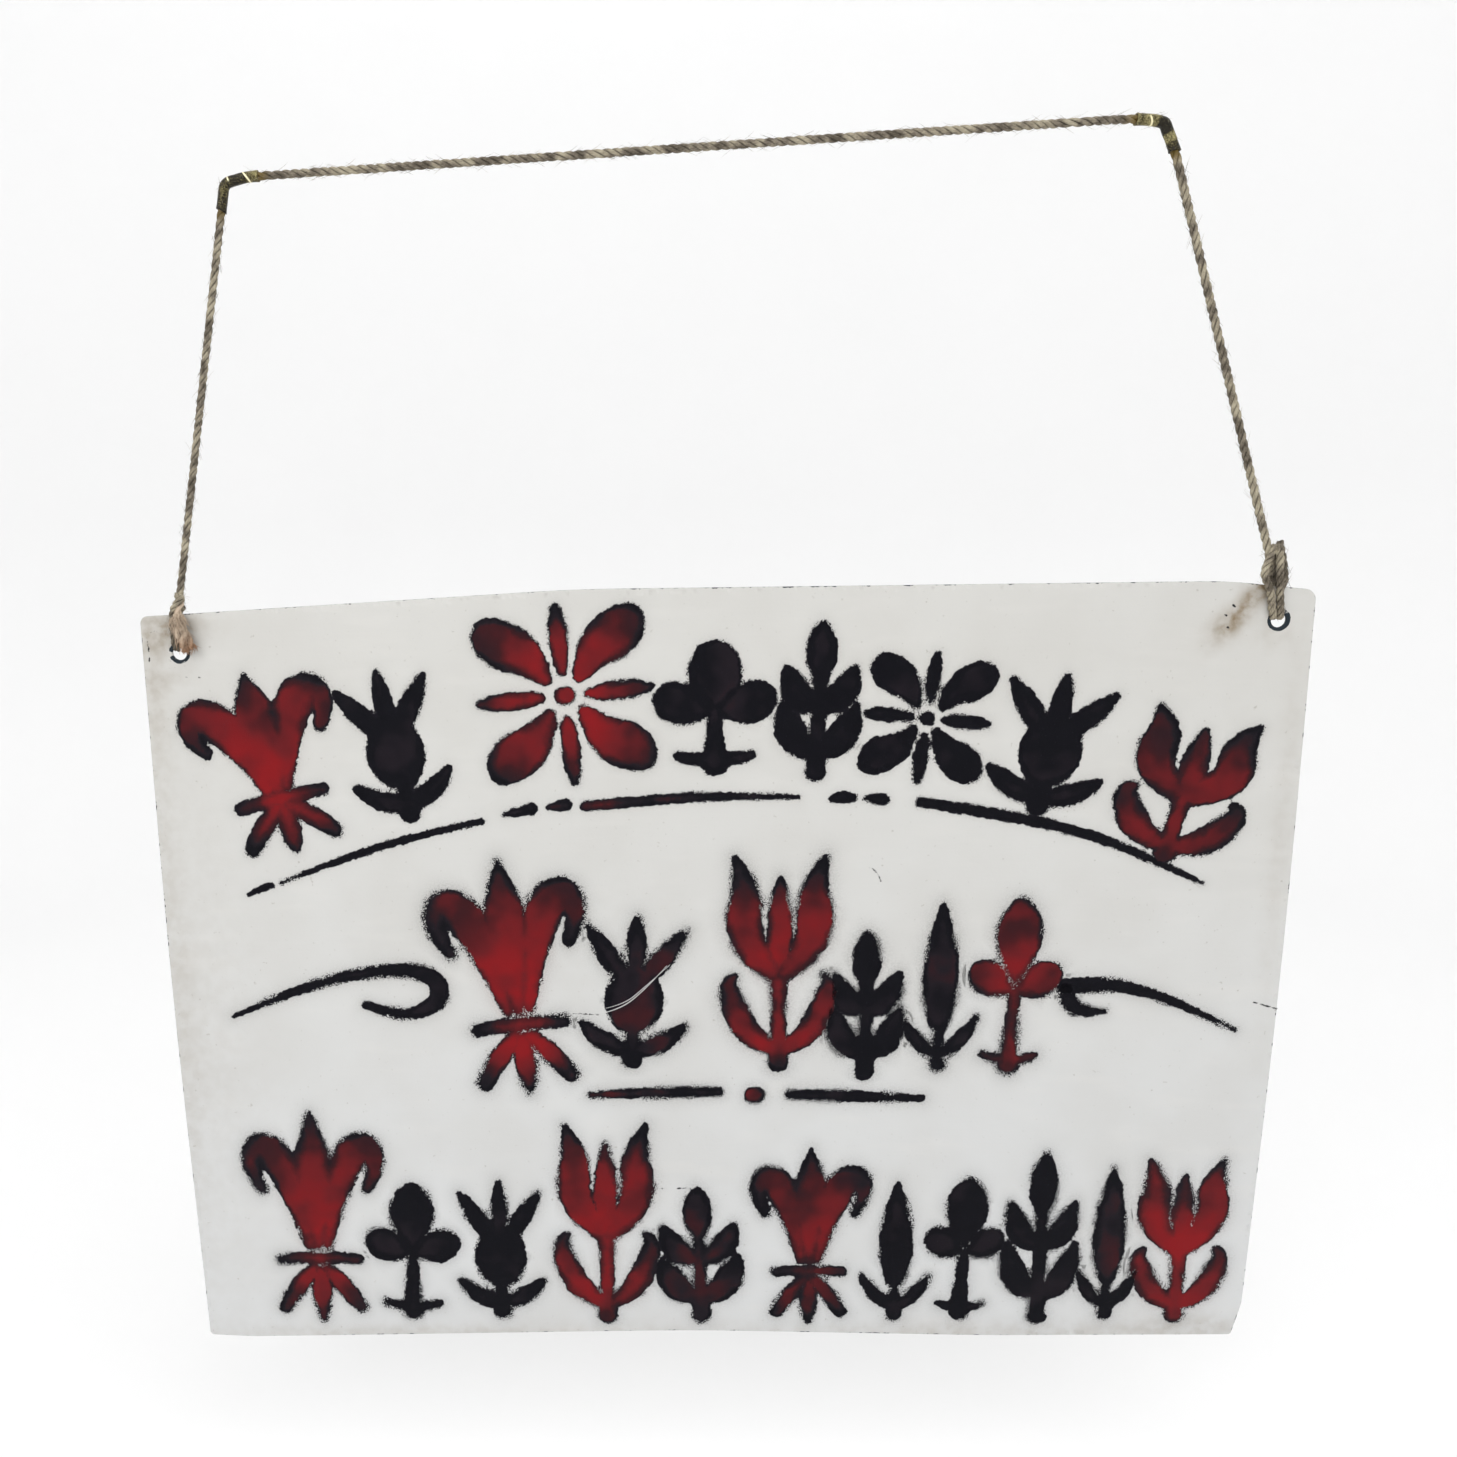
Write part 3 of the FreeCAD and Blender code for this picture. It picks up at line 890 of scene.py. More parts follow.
# Each row: softness of its edges, then (x, z, width, height, lean, motif, ink at the
# foot of each stroke, ink at its tip). Ink runs from 0, red, to 1, black.
UPPER_ROW = (
    0.40,
    (
        (-165.0, 90.0, 54.0, 68.0, -13.0, FLEUR, 0.04, 0.78),
        (-118.5, 96.5, 38.0, 54.0, -11.0, THISTLE, 0.95, 1.00),
        (-54.8, 112.9, 62.0, 64.0, -5.0, QUATREFOIL, 0.04, 0.74),
        (-0.4, 107.6, 42.0, 42.0, 0.0, TREFOIL, 0.90, 1.00),
        (37.2, 110.0, 28.0, 54.0, 2.0, SPRIG, 0.95, 1.00),
        (76.0, 101.6, 44.0, 46.0, 7.0, QUATREFOIL, 0.98, 1.00),
        (121.0, 91.8, 43.0, 48.0, 10.0, THISTLE, 0.98, 1.00),
        (170.0, 74.6, 46.0, 52.0, 14.0, TULIP, 0.32, 0.72),
    ),
)
MIDDLE_ROW = (
    0.85,
    (
        (-77.1, 4.3, 56.0, 94.0, -6.0, FLEUR, 0.00, 0.85),
        (-30.9, -0.8, 42.0, 58.0, 3.0, THISTLE, 0.66, 0.95),
        (24.0, 9.8, 42.0, 82.0, 0.0, TULIP, 0.14, 0.72),
        (57.0, -7.0, 27.0, 56.0, 0.0, SPRIG, 0.95, 1.00),
        (84.8, -1.0, 23.0, 64.0, 0.0, LEAF, 0.80, 0.96),
        (112.6, -0.5, 31.0, 66.0, 2.0, TREFOIL, 0.16, 0.62),
    ),
)
LOWER_ROW = (
    0.75,
    (
        (-160.5, -96.4, 52.0, 92.0, 0.0, FLEUR, 0.14, 0.74),
        (-122.3, -111.0, 35.0, 56.0, 2.0, TREFOIL, 0.95, 1.00),
        (-86.4, -110.5, 36.0, 58.0, 0.0, THISTLE, 0.98, 1.00),
        (-43.5, -99.0, 40.0, 84.0, 0.0, TULIP, 0.12, 0.62),
        (-6.5, -112.5, 32.0, 56.0, -2.0, SPRIG, 0.66, 0.92),
        (37.5, -106.0, 43.0, 76.0, 0.0, FLEUR, 0.22, 0.90),
        (71.8, -112.0, 22.0, 58.0, 0.0, LEAF, 0.96, 1.00),
        (98.6, -110.8, 27.0, 58.0, 2.0, TREFOIL, 0.98, 1.00),
        (128.4, -106.0, 28.0, 71.0, 0.0, SPRIG, 0.98, 1.00),
        (155.0, -109.0, 19.0, 64.0, 0.0, LEAF, 0.72, 0.98),
        (182.6, -107.4, 35.0, 67.0, 0.0, TULIP, 0.04, 0.58),
    ),
)

# Free strokes: softness, ink at both ends, control points (x, z, half width)
FLOURISHES = (
    (0.3, 1.00, 1.00, ((-177.2, 39.7, 0.8), (-172.0, 42.4, 1.8), (-168.1, 43.1, 1.3))),
    (0.3, 1.00, 0.95, (
        (-164.2, 44.2, 0.8), (-140.7, 53.1, 1.6), (-113.8, 61.0, 1.7), (-87.2, 66.6, 1.3),
    )),
    (0.3, 0.60, 0.80, ((-78.6, 69.0, 0.9), (-72.0, 70.2, 2.3), (-68.3, 70.9, 2.4))),
    (0.3, 0.55, 0.80, ((-62.6, 71.3, 0.8), (-58.0, 72.0, 2.5), (-55.6, 72.2, 2.6))),
    (0.3, 0.42, 1.00, (
        (-48.0, 71.7, 2.2), (-24.0, 73.4, 2.3), (1.7, 74.7, 1.8), (30.2, 73.6, 1.0),
    )),
    (0.3, 1.00, 1.00, ((42.4, 72.7, 1.3), (46.0, 73.2, 3.4), (50.0, 73.0, 1.8))),
    (0.3, 1.00, 1.00, ((54.8, 72.6, 1.1), (59.0, 72.4, 2.8), (61.6, 71.8, 2.2))),
    (0.3, 0.95, 0.90, (
        (74.8, 70.8, 2.1), (103.7, 65.7, 2.4), (132.9, 59.0, 2.1), (158.6, 48.4, 1.8),
        (178.6, 38.2, 0.9),
    )),
    (0.6, 1.00, 0.95, (
        (-187.2, -9.7, 0.9), (-167.2, -1.0, 1.9), (-143.3, 6.4, 2.4), (-120.0, 9.3, 2.9),
        (-107.0, 5.6, 3.9), (-105.4, -3.6, 4.0), (-114.0, -9.0, 2.8), (-124.0, -9.6, 2.4),
        (-134.6, -5.6, 2.0),
    )),
    (0.6, 1.00, 1.00, (
        (131.6, -2.6, 3.2), (133.0, -9.0, 3.6), (140.0, -12.0, 2.6), (146.6, -11.6, 1.2),
    )),
    (0.6, 1.00, 1.00, (
        (131.6, -1.6, 3.6), (143.0, -0.4, 3.2), (156.0, -2.2, 2.4), (176.0, -9.4, 1.8),
        (195.6, -19.7, 0.9),
    )),
    (0.7, 0.62, 0.95, (
        (-48.4, -43.9, 1.5), (-30.0, -43.4, 2.5), (-14.0, -43.2, 2.7), (1.0, -43.2, 2.2),
    )),
    (0.7, 0.98, 0.92, (
        (28.8, -44.6, 2.2), (42.0, -45.0, 2.8), (60.0, -45.8, 2.5), (79.6, -46.6, 1.5),
    )),
    (0.7, 0.38, 0.46, ((14.7, -44.7, 3.7), (15.1, -44.7, 3.7), (15.5, -44.7, 3.7))),
)

# Scratches and short dark flaws: control points (x, z, half width)
SCRATCHES = (
    ((200.8, -8.4, 0.10), (206.0, -10.3, 0.22), (210.2, -11.3, 0.12)),
    ((-57.0, -9.8, 0.05), (-51.0, -10.4, 0.20), (-45.0, -10.6, 0.12)),
    ((-22.4, -84.4, 0.16), (-21.0, -84.6, 0.20), (-19.6, -84.5, 0.12)),
    ((-14.9, -84.5, 0.14), (-11.0, -84.2, 0.20), (-8.6, -84.6, 0.12)),
    ((56.6, 46.3, 0.05), (59.8, 45.3, 0.12), (61.2, 40.8, 0.06)),
    ((-193.9, 122.9, 0.16), (-193.5, 122.8, 0.24), (-193.1, 122.7, 0.14)),
    ((-188.9, 122.8, 0.20), (-188.6, 122.7, 0.26), (-188.3, 122.6, 0.16)),
    ((-188.6, 113.6, 0.14), (-187.8, 112.8, 0.20), (-187.0, 112.0, 0.12)),
    ((-207.0, 137.6, 0.05), (-206.3, 133.0, 0.10), (-206.8, 129.0, 0.05)),
    ((-205.4, 139.4, 0.10), (-203.8, 140.6, 0.18), (-202.2, 138.9, 0.10)),
    ((177.9, 136.4, 0.22), (178.2, 136.1, 0.30), (178.6, 135.8, 0.20)),
    ((180.6, 139.4, 0.18), (181.0, 139.1, 0.24), (181.4, 138.8, 0.16)),
    ((179.3, 131.8, 0.20), (179.8, 131.5, 0.26), (180.2, 131.2, 0.16)),
)

# Scratches that bare the ground coat again where they cross paint
BARE_SCRATCHES = (
    ((-46.0, -10.6, 0.12), (-37.6, -9.0, 0.22), (-28.0, -1.9, 0.20), (-18.5, 8.9, 0.12)),
    ((-43.0, -8.2, 0.10), (-35.0, -6.6, 0.18), (-27.0, 0.4, 0.16), (-12.0, 14.0, 0.08)),
)

# Motifs narrower than this keep nearly the stroke width of one that is as wide
BOLD_WIDTH = 50.0

# How roundly strokes run together where they meet, and how far the ink of one reaches
FILLET = 0.55
INK_SPREAD = 2.0

# A bare film: its height in paint thicknesses, and its depth, which is outside all paint
BARE_LIFT = 1.6
BARE_DEPTH = -3.0

# How far the thinnest film stands off the enamel, and how deep all films are rooted in it
FILM_GAP = 0.012
FILM_ROOT = 0.12

# Steps along a motif's stroke, a flourish and a scratch
MOTIF_PACE = 0.9
STROKE_PACE = 0.8
SCRATCH_PACE = 0.3

# Size of the film's mesh on motifs, on the thin strokes and on scratches
MOTIF_STEP = 1.05
STROKE_STEP = 0.6
SCRATCH_STEP = 0.22

# How far a motif's edge and a stroke's edge waver
MOTIF_WOBBLE = 0.55
STROKE_WOBBLE = 0.26

# Edges of the film that are steeper than this are drawn sharp
RIM_ANGLE = math.radians(40.0)


def stroke_discs(points, first_ink, last_ink, step):
    """A stroke as discs that overlap: x, z, radius and ink of each."""
    line = smooth_line([(x, radius, z) for x, z, radius in points], step)
    share = np.linspace(0.0, 1.0, len(line))
    ink = first_ink + (last_ink - first_ink) * share**1.4
    return np.stack([line[:, 0], line[:, 2], line[:, 1], ink], axis=1)


def motif_strokes(spec):
    """The strokes of one ornament, leaning as it does, with their mirrored twins."""
    x, z, width, height, lean, strokes, foot_ink, tip_ink = spec
    turn = math.radians(-lean)
    boldness = max(width, 0.45 * width + 0.55 * BOLD_WIDTH)
    made = []
    for points, widths in strokes:
        sides = (1.0, -1.0) if max(abs(px) for px, pz in points) > 0.02 else (1.0,)
        for side in sides:
            placed = []
            for (px, pz), half in zip(points, widths):
                right, up = side * px * width, pz * height
                placed.append(
                    (
                        x + right * math.cos(turn) - up * math.sin(turn),
                        z + right * math.sin(turn) + up * math.cos(turn),
                        half * boldness,
                    )
                )
            made.append(stroke_discs(placed, foot_ink, tip_ink, MOTIF_PACE))
    return made


def paint_field(strokes, step, margin, wobble, seed):
    """A grid round one mark: how far each place lies in the paint, and its ink."""
    discs = np.vstack(strokes)
    low = (discs[:, :2] - discs[:, 2:3]).min(axis=0) - margin - step
    high = (discs[:, :2] + discs[:, 2:3]).max(axis=0) + margin + step
    xs, zs = np.arange(low[0], high[0] + step, step), np.arange(low[1], high[1] + step, step)
    x, z = np.meshgrid(xs, zs, indexing="ij")
    near, inked, weight = 0.0, 0.0, 0.0
    for discs in strokes:
        gap = np.hypot(x[..., None] - discs[:, 0], z[..., None] - discs[:, 1]) - discs[:, 2]
        near = near + np.exp(-gap.min(axis=2) / FILLET)
        share = np.exp(-gap / INK_SPREAD)
        inked = inked + (share * discs[:, 3]).sum(axis=2)
        weight = weight + share.sum(axis=2)
    into = FILLET * np.log(near)
    if wobble:
        slow = np.array([noise.noise((a * 0.22, b * 0.22, seed)) for a, b in zip(x.flat, z.flat)])
        fast = np.array([noise.noise((a * 0.7, b * 0.7, seed)) for a, b in zip(x.flat, z.flat)])
        into = into + wobble * (slow + 0.45 * fast).reshape(into.shape)
    return x, z, into, inked / weight


def lay_film(heap, field, reach, softness, film, height, bare=False):
    """A closed film of paint over the places of a field that lie no further out than reach.

    A bare film lies over the paint and shows the ground coat.
    """
    x, z, into, ink = field
    kept = into > -reach
    number = np.full(kept.shape, -1)
    number[kept] = np.arange(kept.sum())
    spots = np.stack([x[kept], z[kept], into[kept], ink[kept]], axis=1)
    crossings, extra = {}, []

    def crossing(a, b):
        """The point where the film's rim passes between two grid points."""
        key = (min(a, b), max(a, b))
        if key not in crossings:
            share = (into[a] + reach) / (into[a] - into[b])
            crossings[key] = len(spots) + len(extra)
            ends = [np.array((x[c], z[c], into[c], ink[c])) for c in (a, b)]
            extra.append(ends[0] + (ends[1] - ends[0]) * share)
        return crossings[key]

    corners = (kept[:-1, :-1], kept[1:, :-1], kept[1:, 1:], kept[:-1, 1:])
    whole = np.logical_and.reduce(corners)
    part = np.logical_or.reduce(corners) & ~whole
    front = quads_of(number)[..., [0, 3, 2, 1]][whole].tolist()
    walls = []
    for i, k in np.argwhere(part).tolist():
        around = ((i, k), (i + 1, k), (i + 1, k + 1), (i, k + 1))
        face, leaving = [], []
        for a, b in zip(around, around[1:] + around[:1]):
            if kept[a]:
                face.append(int(number[a]))
            if kept[a] != kept[b]:
                face.append(crossing(a, b))
                leaving.append((face[-1], bool(kept[a])))
        front.append(face)
        if not leaving[0][1]:
            leaving = leaving[1:] + leaving[:1]
        walls += [(leaving[n][0], leaving[n + 1][0]) for n in range(0, len(leaving), 2)]
    if extra:
        spots = np.vstack([spots, extra])
    count = len(spots)
    cover = np.clip((spots[:, 2] + 0.3) / 0.8, 0.0, 1.0)
    if bare:
        cover = np.full(count, BARE_LIFT)
        spots[:, 2] = BARE_DEPTH
    flat = FRONT + ripple(spots[:, 0], spots[:, 1], height)
    top = np.stack([spots[:, 0], flat - FILM_GAP - film * cover, spots[:, 1]], axis=1)
    bottom = np.stack([spots[:, 0], np.full(count, FRONT + FILM_ROOT), spots[:, 1]], axis=1)
    first = heap.add_points(
        np.vstack([top, bottom]),
        into=np.tile(spots[:, 2], 2),
        ink=np.tile(spots[:, 3], 2),
        soft=softness,
    )
    heap.faces += [[first + v for v in face] for face in front]
    heap.faces += [[first + count + v for v in reversed(face)] for face in front]
    heap.faces += [
        [first + b, first + a, first + count + a, first + count + b] for a, b in walls
    ]


def finish_film(heap, reach):
    """Gives the film's points the dirt and mist of the sheet under them."""
    points = np.vstack(heap.points)
    values = weathering(points[:, 0], points[:, 2], reach)
    heap.values.update({name: [value[:, None]] for name, value in values.items()})


class PLAQUE_OT_marks(bpy.types.Operator):
    """Lay the stencilled ornament, the flourishes and the scratches"""

    bl_idname = "plaque.marks"
    bl_label = "Painted marks"

    def execute(self, context):
        marks, sheet = context.scene.plaque_marks, context.scene.plaque_sheet
        film, height = marks.film / MM, sheet.ripple / MM
        heaps = {}
        rows = (("upper_row", UPPER_ROW), ("middle_row", MIDDLE_ROW), ("lower_row", LOWER_ROW))
        for number, (name, (softness, motifs)) in enumerate(rows):
            heap = heaps[name] = Heap()
            for place, spec in enumerate(motifs):
                strokes = motif_strokes(spec)
                for discs in strokes:
                    spray.note(discs, softness)
                seed = SEED + number * 100 + place * 10
                reach = 0.6 + 2.2 * softness
                field = paint_field(strokes, MOTIF_STEP, reach, MOTIF_WOBBLE, seed)
                lay_film(heap, field, reach, softness, film, height)
        heap = heaps["flourishes"] = Heap()
        for number, (softness, first, last, points) in enumerate(FLOURISHES):
            discs = stroke_discs(points, first, last, STROKE_PACE)
            spray.note(discs, softness)
            reach = 0.6 + 1.8 * softness
            field = paint_field([discs], STROKE_STEP, reach, STROKE_WOBBLE, number + 700)
            lay_film(heap, field, reach, softness, film, height)
        heap = heaps["scratches"] = Heap()
        for points in SCRATCHES:
            discs = stroke_discs(points, 0.95, 0.95, SCRATCH_PACE)
            field = paint_field([discs], SCRATCH_STEP, 0.3, 0.0, 0)
            lay_film(heap, field, 0.3, 0.1, film, height)
        for points in BARE_SCRATCHES:
            discs = stroke_discs(points, 0.0, 0.0, SCRATCH_PACE)
            field = paint_field([discs], SCRATCH_STEP, 0.3, 0.0, 0)
            lay_film(heap, field, 0.02, 0.0, film, height, bare=True)
        spray.settle()
        paint = sprayed_paint(sheet, marks)
        for name, heap in heaps.items():
            finish_film(heap, marks.mist / MM)
            piece = heap.make(name, paint)
            piece.data.set_sharp_from_angle(angle=RIM_ANGLE)
        return {"FINISHED"}


# The rim of the sheet and of its holes, from the front to the back: how far in from the
# edge, and how far from the middle of the sheet as a share of half its thickness
EDGE_PROFILE = (
    (0.90, -1.00),
    (0.30, -1.00),
    (0.10, -0.92),
    (0.00, -0.64),
    (0.00, 0.64),
    (0.10, 0.92),
    (0.30, 1.00),
    (0.90, 1.00),
)
HOLE_PROFILE = (
    (1.20, -1.00),
    (0.70, -1.02),
    (0.40, -1.16),
    (0.05, -1.22),
    (-0.28, -1.06),
    (-0.50, -0.70),
    (-0.52, 0.60),
    (-0.26, 0.98),
    (0.10, 1.12),
    (0.45, 1.00),
    (1.20, 1.00),
)

# Painted highlights on the rims of the outline, the right hole and the left hole, drawn as
# white enamel over the dark bare steel: an angle round each, and how much of the rim's wear it
# hides there
RIM_GLEAMS = ((0.0, 0.0), (math.radians(228.0), 0.0), (math.radians(186.0), 0.75))

# Half the width of such a gleam, as the sine of half an angle
GLEAM_WIDTH = 0.11

# How worn the rims are: the outline at its sides, the outline's rounded corners before
# chips are added or taken away, the reach of those chips, and the holes
SIDE_WEAR = 0.75
CORNER_WEAR = 0.42
CHIP_WEAR = 0.3
HOLE_WEAR = 0.75

# Distance between points along the outline, along the holes and on the back
EDGE_STEP = 1.2
HOLE_STEP = 0.45
BACK_STEP = 7.0


def filled(loops, step):
    """Triangles that fill the outline round its holes, with points one step apart between."""
    low, high = loops[0].min(axis=0), loops[0].max(axis=0)
    across = np.arange(low[0] + step / 2, high[0], step)
    upward = np.arange(low[1] + step / 2, high[1], step)
    grid = np.stack(np.meshgrid(across, upward, indexing="ij"), axis=-1).reshape(-1, 2)
    keep = inside(grid, loops[0])
    rim = np.vstack(loops)
    near = KDTree(len(rim))
    for number, (x, z) in enumerate(rim):
        near.insert((x, z, 0.0), number)
    near.balance()
    for hole in loops[1:]:
        keep &= ~inside(grid, hole)
    grid = grid[keep]
    gap = step * 0.55
    far = np.array([near.find((x, z, 0.0))[2] > gap for x, z in grid])
    grid = grid[far]
    points = np.vstack([rim, grid])
    edges = []
    first = 0
    for loop in loops:
        count = len(loop)
        edges += [(first + k, first + (k + 1) % count) for k in range(count)]
        first += count
    found = delaunay_2d_cdt([Vector(p) for p in points], edges, [], 0, 1e-5)
    places, faces, sources = found[0], found[2], found[3]
    if len(places) != len(points):
        raise RuntimeError("the triangles of the sheet's face added or lost a point")
    origin = [source[0] for source in sources]
    triangles = np.array([[origin[v] for v in face] for face in faces])
    on_rim = (triangles < len(rim)).all(axis=1)
    middles = points[triangles].mean(axis=1)
    wrong = np.zeros(len(triangles), bool)
    wrong[on_rim] = ~inside(middles[on_rim], loops[0])
    for hole in loops[1:]:
        wrong[on_rim] |= inside(middles[on_rim], hole)
    return grid, triangles[~wrong]


class PLAQUE_OT_sheet(bpy.types.Operator):
    """Build the enamelled sheet with its rounded rims and dirt"""

    bl_idname = "plaque.sheet"
    bl_label = "Enamelled sheet"

    def execute(self, context):
        sheet, marks = context.scene.plaque_sheet, context.scene.plaque_marks
        heap = Heap()
        loops = front_loops()
        steps = [EDGE_STEP, HOLE_STEP, HOLE_STEP]
        profiles = [EDGE_PROFILE, HOLE_PROFILE, HOLE_PROFILE]
        front_rims, back_rims = [], []
        half = (BACK - FRONT) / 2
        for number, (loop, step, profile) in enumerate(zip(loops, steps, profiles)):
            rim = divided(loop, step)
            normal = inward(rim, number > 0)
            chips = np.array([noise.noise((x * 0.21, z * 0.21, 4.0)) for x, z in rim])
            across, upward = (rim - rim.mean(axis=0)).T
            # Painted highlight: part of a hole's dark rim is given back the white enamel colour
            angle, strength = RIM_GLEAMS[number]
            turned = np.sin((np.arctan2(upward, across) - angle) / 2)
            gleam = strength * np.exp(-((turned / GLEAM_WIDTH) ** 2))
            rows, bare = [], []
            for place, (inset, level) in enumerate(profile):
                spot = rim + normal * inset
                wave = ripple(spot[:, 0], spot[:, 1], sheet.ripple / MM)
                y = (FRONT + BACK) / 2 + level * half + wave
                rows.append(np.stack([spot[:, 0], y, spot[:, 1]], axis=1))
                on_face = place in (0, len(profile) - 1)
                worn = HOLE_WEAR - gleam if number else CORNER_WEAR + CHIP_WEAR * chips
                if number == 0 and abs(level) < 0.9:
                    worn = SIDE_WEAR
                if on_face:
                    worn = 0.0
                bare.append(np.broadcast_to(worn, (len(rim),)))
            rows, bare = np.stack(rows), np.stack(bare)
            values = weathering(rows[..., 0].ravel(), rows[..., 2].ravel(), marks.mist / MM)
            index = heap.add_grid(rows, capped=False, **values, bare=bare.ravel())
            front_rims.append((rows[0][:, (0, 2)], index[0]))
            back_rims.append((rows[-1][:, (0, 2)], index[-1]))
        for level, rims, step in (
            (FRONT, front_rims, sheet.mesh_step / MM),
            (BACK, back_rims, BACK_STEP),
        ):
            grid, triangles = filled([places for places, index in rims], step)
            x, z = grid[:, 0], grid[:, 1]
            y = level + ripple(x, z, sheet.ripple / MM)
            values = weathering(x, z, marks.mist / MM)
            if level == BACK:
                values.update(mist=0.0, mist_ink=1.0)
            first = heap.add_points(np.stack([x, y, z], axis=1), **values, bare=0.0)
            rim_index = np.concatenate([index for places, index in rims])
            index = np.concatenate([rim_index, first + np.arange(len(grid))])
            heap.faces += index[triangles].tolist()
        piece = heap.make("enamelled_sheet", enamel_on_steel(sheet, marks))
        make_outward(piece)
        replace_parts(piece, "plate")
        return {"FINISHED"}


def make_outward(piece):
    """Turns every face of a closed piece outward."""
    mesh = bmesh.new()
    mesh.from_mesh(piece.data)
    bmesh.ops.recalc_face_normals(mesh, faces=mesh.faces)
    mesh.to_mesh(piece.data)
    mesh.free()


def nearest_on(path, place):
    """The number of the path's point nearest to a place (x, z)."""
    gaps = (path[:, 0] - place[0]) ** 2 + (path[:, 2] - place[1]) ** 2
    return int(np.argmin(gaps))


def twine_path(step):
    """The tight twine from knot to knot, read from its NURBS route."""
    return smooth_line([(x, 0.0, z) for x, z in TWINE_ROUTE], step)


# Strands at the right knot, from the middle of the knot: x, y, z
RIGHT_LEFT_STRAND = (
    (0.3, 0.4, 6.6), (-0.2, -0.9, 7.4), (-1.5, -1.9, 4.4), (-3.5, -2.3, 0.4), (-3.9, -2.4, -3.0),
    (-1.9, -2.4, -6.4), (-0.6, -2.2, -9.8), (-0.1, -2.0, -13.0), (0.7, -1.95, -16.0),
    (1.9, -0.3, -17.9), (2.1, 1.7, -16.0), (1.2, 2.0, -10.0), (0.6, 2.0, -4.0), (0.2, 1.0, 1.5),
    (0.1, 0.3, 4.0),
)
RIGHT_MIDDLE_STRAND = (
    (0.4, 0.6, 5.6), (0.5, -1.0, 7.6), (0.5, -2.7, 5.6), (0.6, -3.1, 2.0), (1.1, -3.0, -2.8),
    (1.9, -2.6, -7.8), (2.6, -2.1, -12.0), (3.3, -1.95, -15.6), (4.2, -0.3, -18.0),
    (4.3, 1.8, -15.6), (3.2, 2.0, -9.0), (2.2, 1.8, -3.0), (1.2, 1.0, 1.5), (0.6, 0.4, 4.0),
)
RIGHT_END_STRAND = (
    (1.9, 0.2, 8.6), (2.3, -0.4, 6.0), (2.8, -1.1, 2.4), (3.3, -1.5, -1.4), (3.8, -1.7, -4.6),
    (3.8, -0.6, -7.2), (2.9, 1.2, -7.0), (1.6, 1.9, -4.2), (0.6, 1.0, -1.0), (0.2, 0.3, 1.4),
)
RIGHT_COLLAR = (
    (0.2, 0.4, 3.6), (-1.0, 1.2, 4.4), (-1.5, -0.4, 5.2), (-0.1, -1.6, 5.9), (1.6, -1.1, 6.3),
    (1.9, 0.7, 6.1), (0.5, 1.5, 5.6), (0.2, 0.4, 4.9),
)

# Strands at the left knot, from the middle of the knot: x, y, z
LEFT_WRAP = (
    (0.1, 0.3, 1.0), (0.1, 1.1, 2.1), (-0.3, 0.4, 2.4), (-0.2, -1.4, 2.4), (1.1, -1.0, 1.7),
    (0.9, 1.0, 0.7), (-0.8, 1.1, -0.1), (-1.3, -0.6, -0.7), (-0.1, -2.0, -1.2), (1.2, -0.9, -1.9),
    (0.8, 0.9, -2.4), (-0.3, 1.0, -2.2), (-0.2, 0.3, -1.2),
)
LEFT_CROSSING = (
    (0.2, 0.3, 0.6), (0.7, 0.2, 2.0), (1.4, -1.6, 1.6), (0.4, -2.9, -0.2), (-1.2, -2.9, -2.2),
    (-2.1, -2.4, -4.8), (-2.3, -2.05, -8.6), (-2.4, -1.95, -12.0), (-2.4, -1.9, -14.9),
    (-2.2, -0.2, -17.4), (-2.0, 1.8, -15.2), (-1.4, 2.0, -8.0), (-0.8, 1.6, -3.0),
    (-0.1, 0.8, 0.2),
)
LEFT_TAIL = (
    (0.0, 0.6, 0.4), (1.0, -0.8, -0.4), (0.5, -3.0, -2.4), (0.4, -3.7, -5.2), (0.9, -3.8, -9.0),
    (1.9, -3.8, -12.2), (2.8, -3.6, -15.0), (3.5, -3.3, -16.9),
)


def strand(points, middle):
    """A knot's strand as a smooth path in the frame."""
    x0, y0, z0 = middle
    return smooth_line([(x0 + x, y0 + y, z0 + z) for x, y, z in points], STRAND_STEP)


# Pieces of the knots: name, node that each takes the place of, middle, strand and seed
KNOT_PIECES = (
    ("left_eye", "left_loop", LEFT_KNOT, LEFT_CROSSING, 11),
    ("left_knot_wraps", "left_knot", LEFT_KNOT, LEFT_WRAP, 12),
    ("right_eye_inner", "right_loop_inner", RIGHT_KNOT, RIGHT_LEFT_STRAND, 13),
    ("right_eye_outer", "right_loop_outer", RIGHT_KNOT, RIGHT_MIDDLE_STRAND, 14),
    ("right_knot_wraps", "right_knot", RIGHT_KNOT, RIGHT_COLLAR, 15),
    ("right_cut_end", "right_stub", RIGHT_KNOT, RIGHT_END_STRAND, 16),
)

# Loose fibres on the tight twine and on each strand of a knot: how many, and how long
TWINE_HAIRS = 1500
TWINE_HAIR_REACH = (1.2, 3.8)
KNOT_HAIRS = 70
KNOT_HAIR_REACH = (1.0, 3.0)

# Fibres of the frayed end: how many, and how thick they are along their length
FRAY_FIBRES = 560
FRAY_TAPER = (1.0, 1.0, 0.85, 0.6, 0.2)

# How far the stain of the brass spreads on the twine, and how the sleeves squeeze it
STAIN_REACH = 3.2
SQUEEZE = 0.93


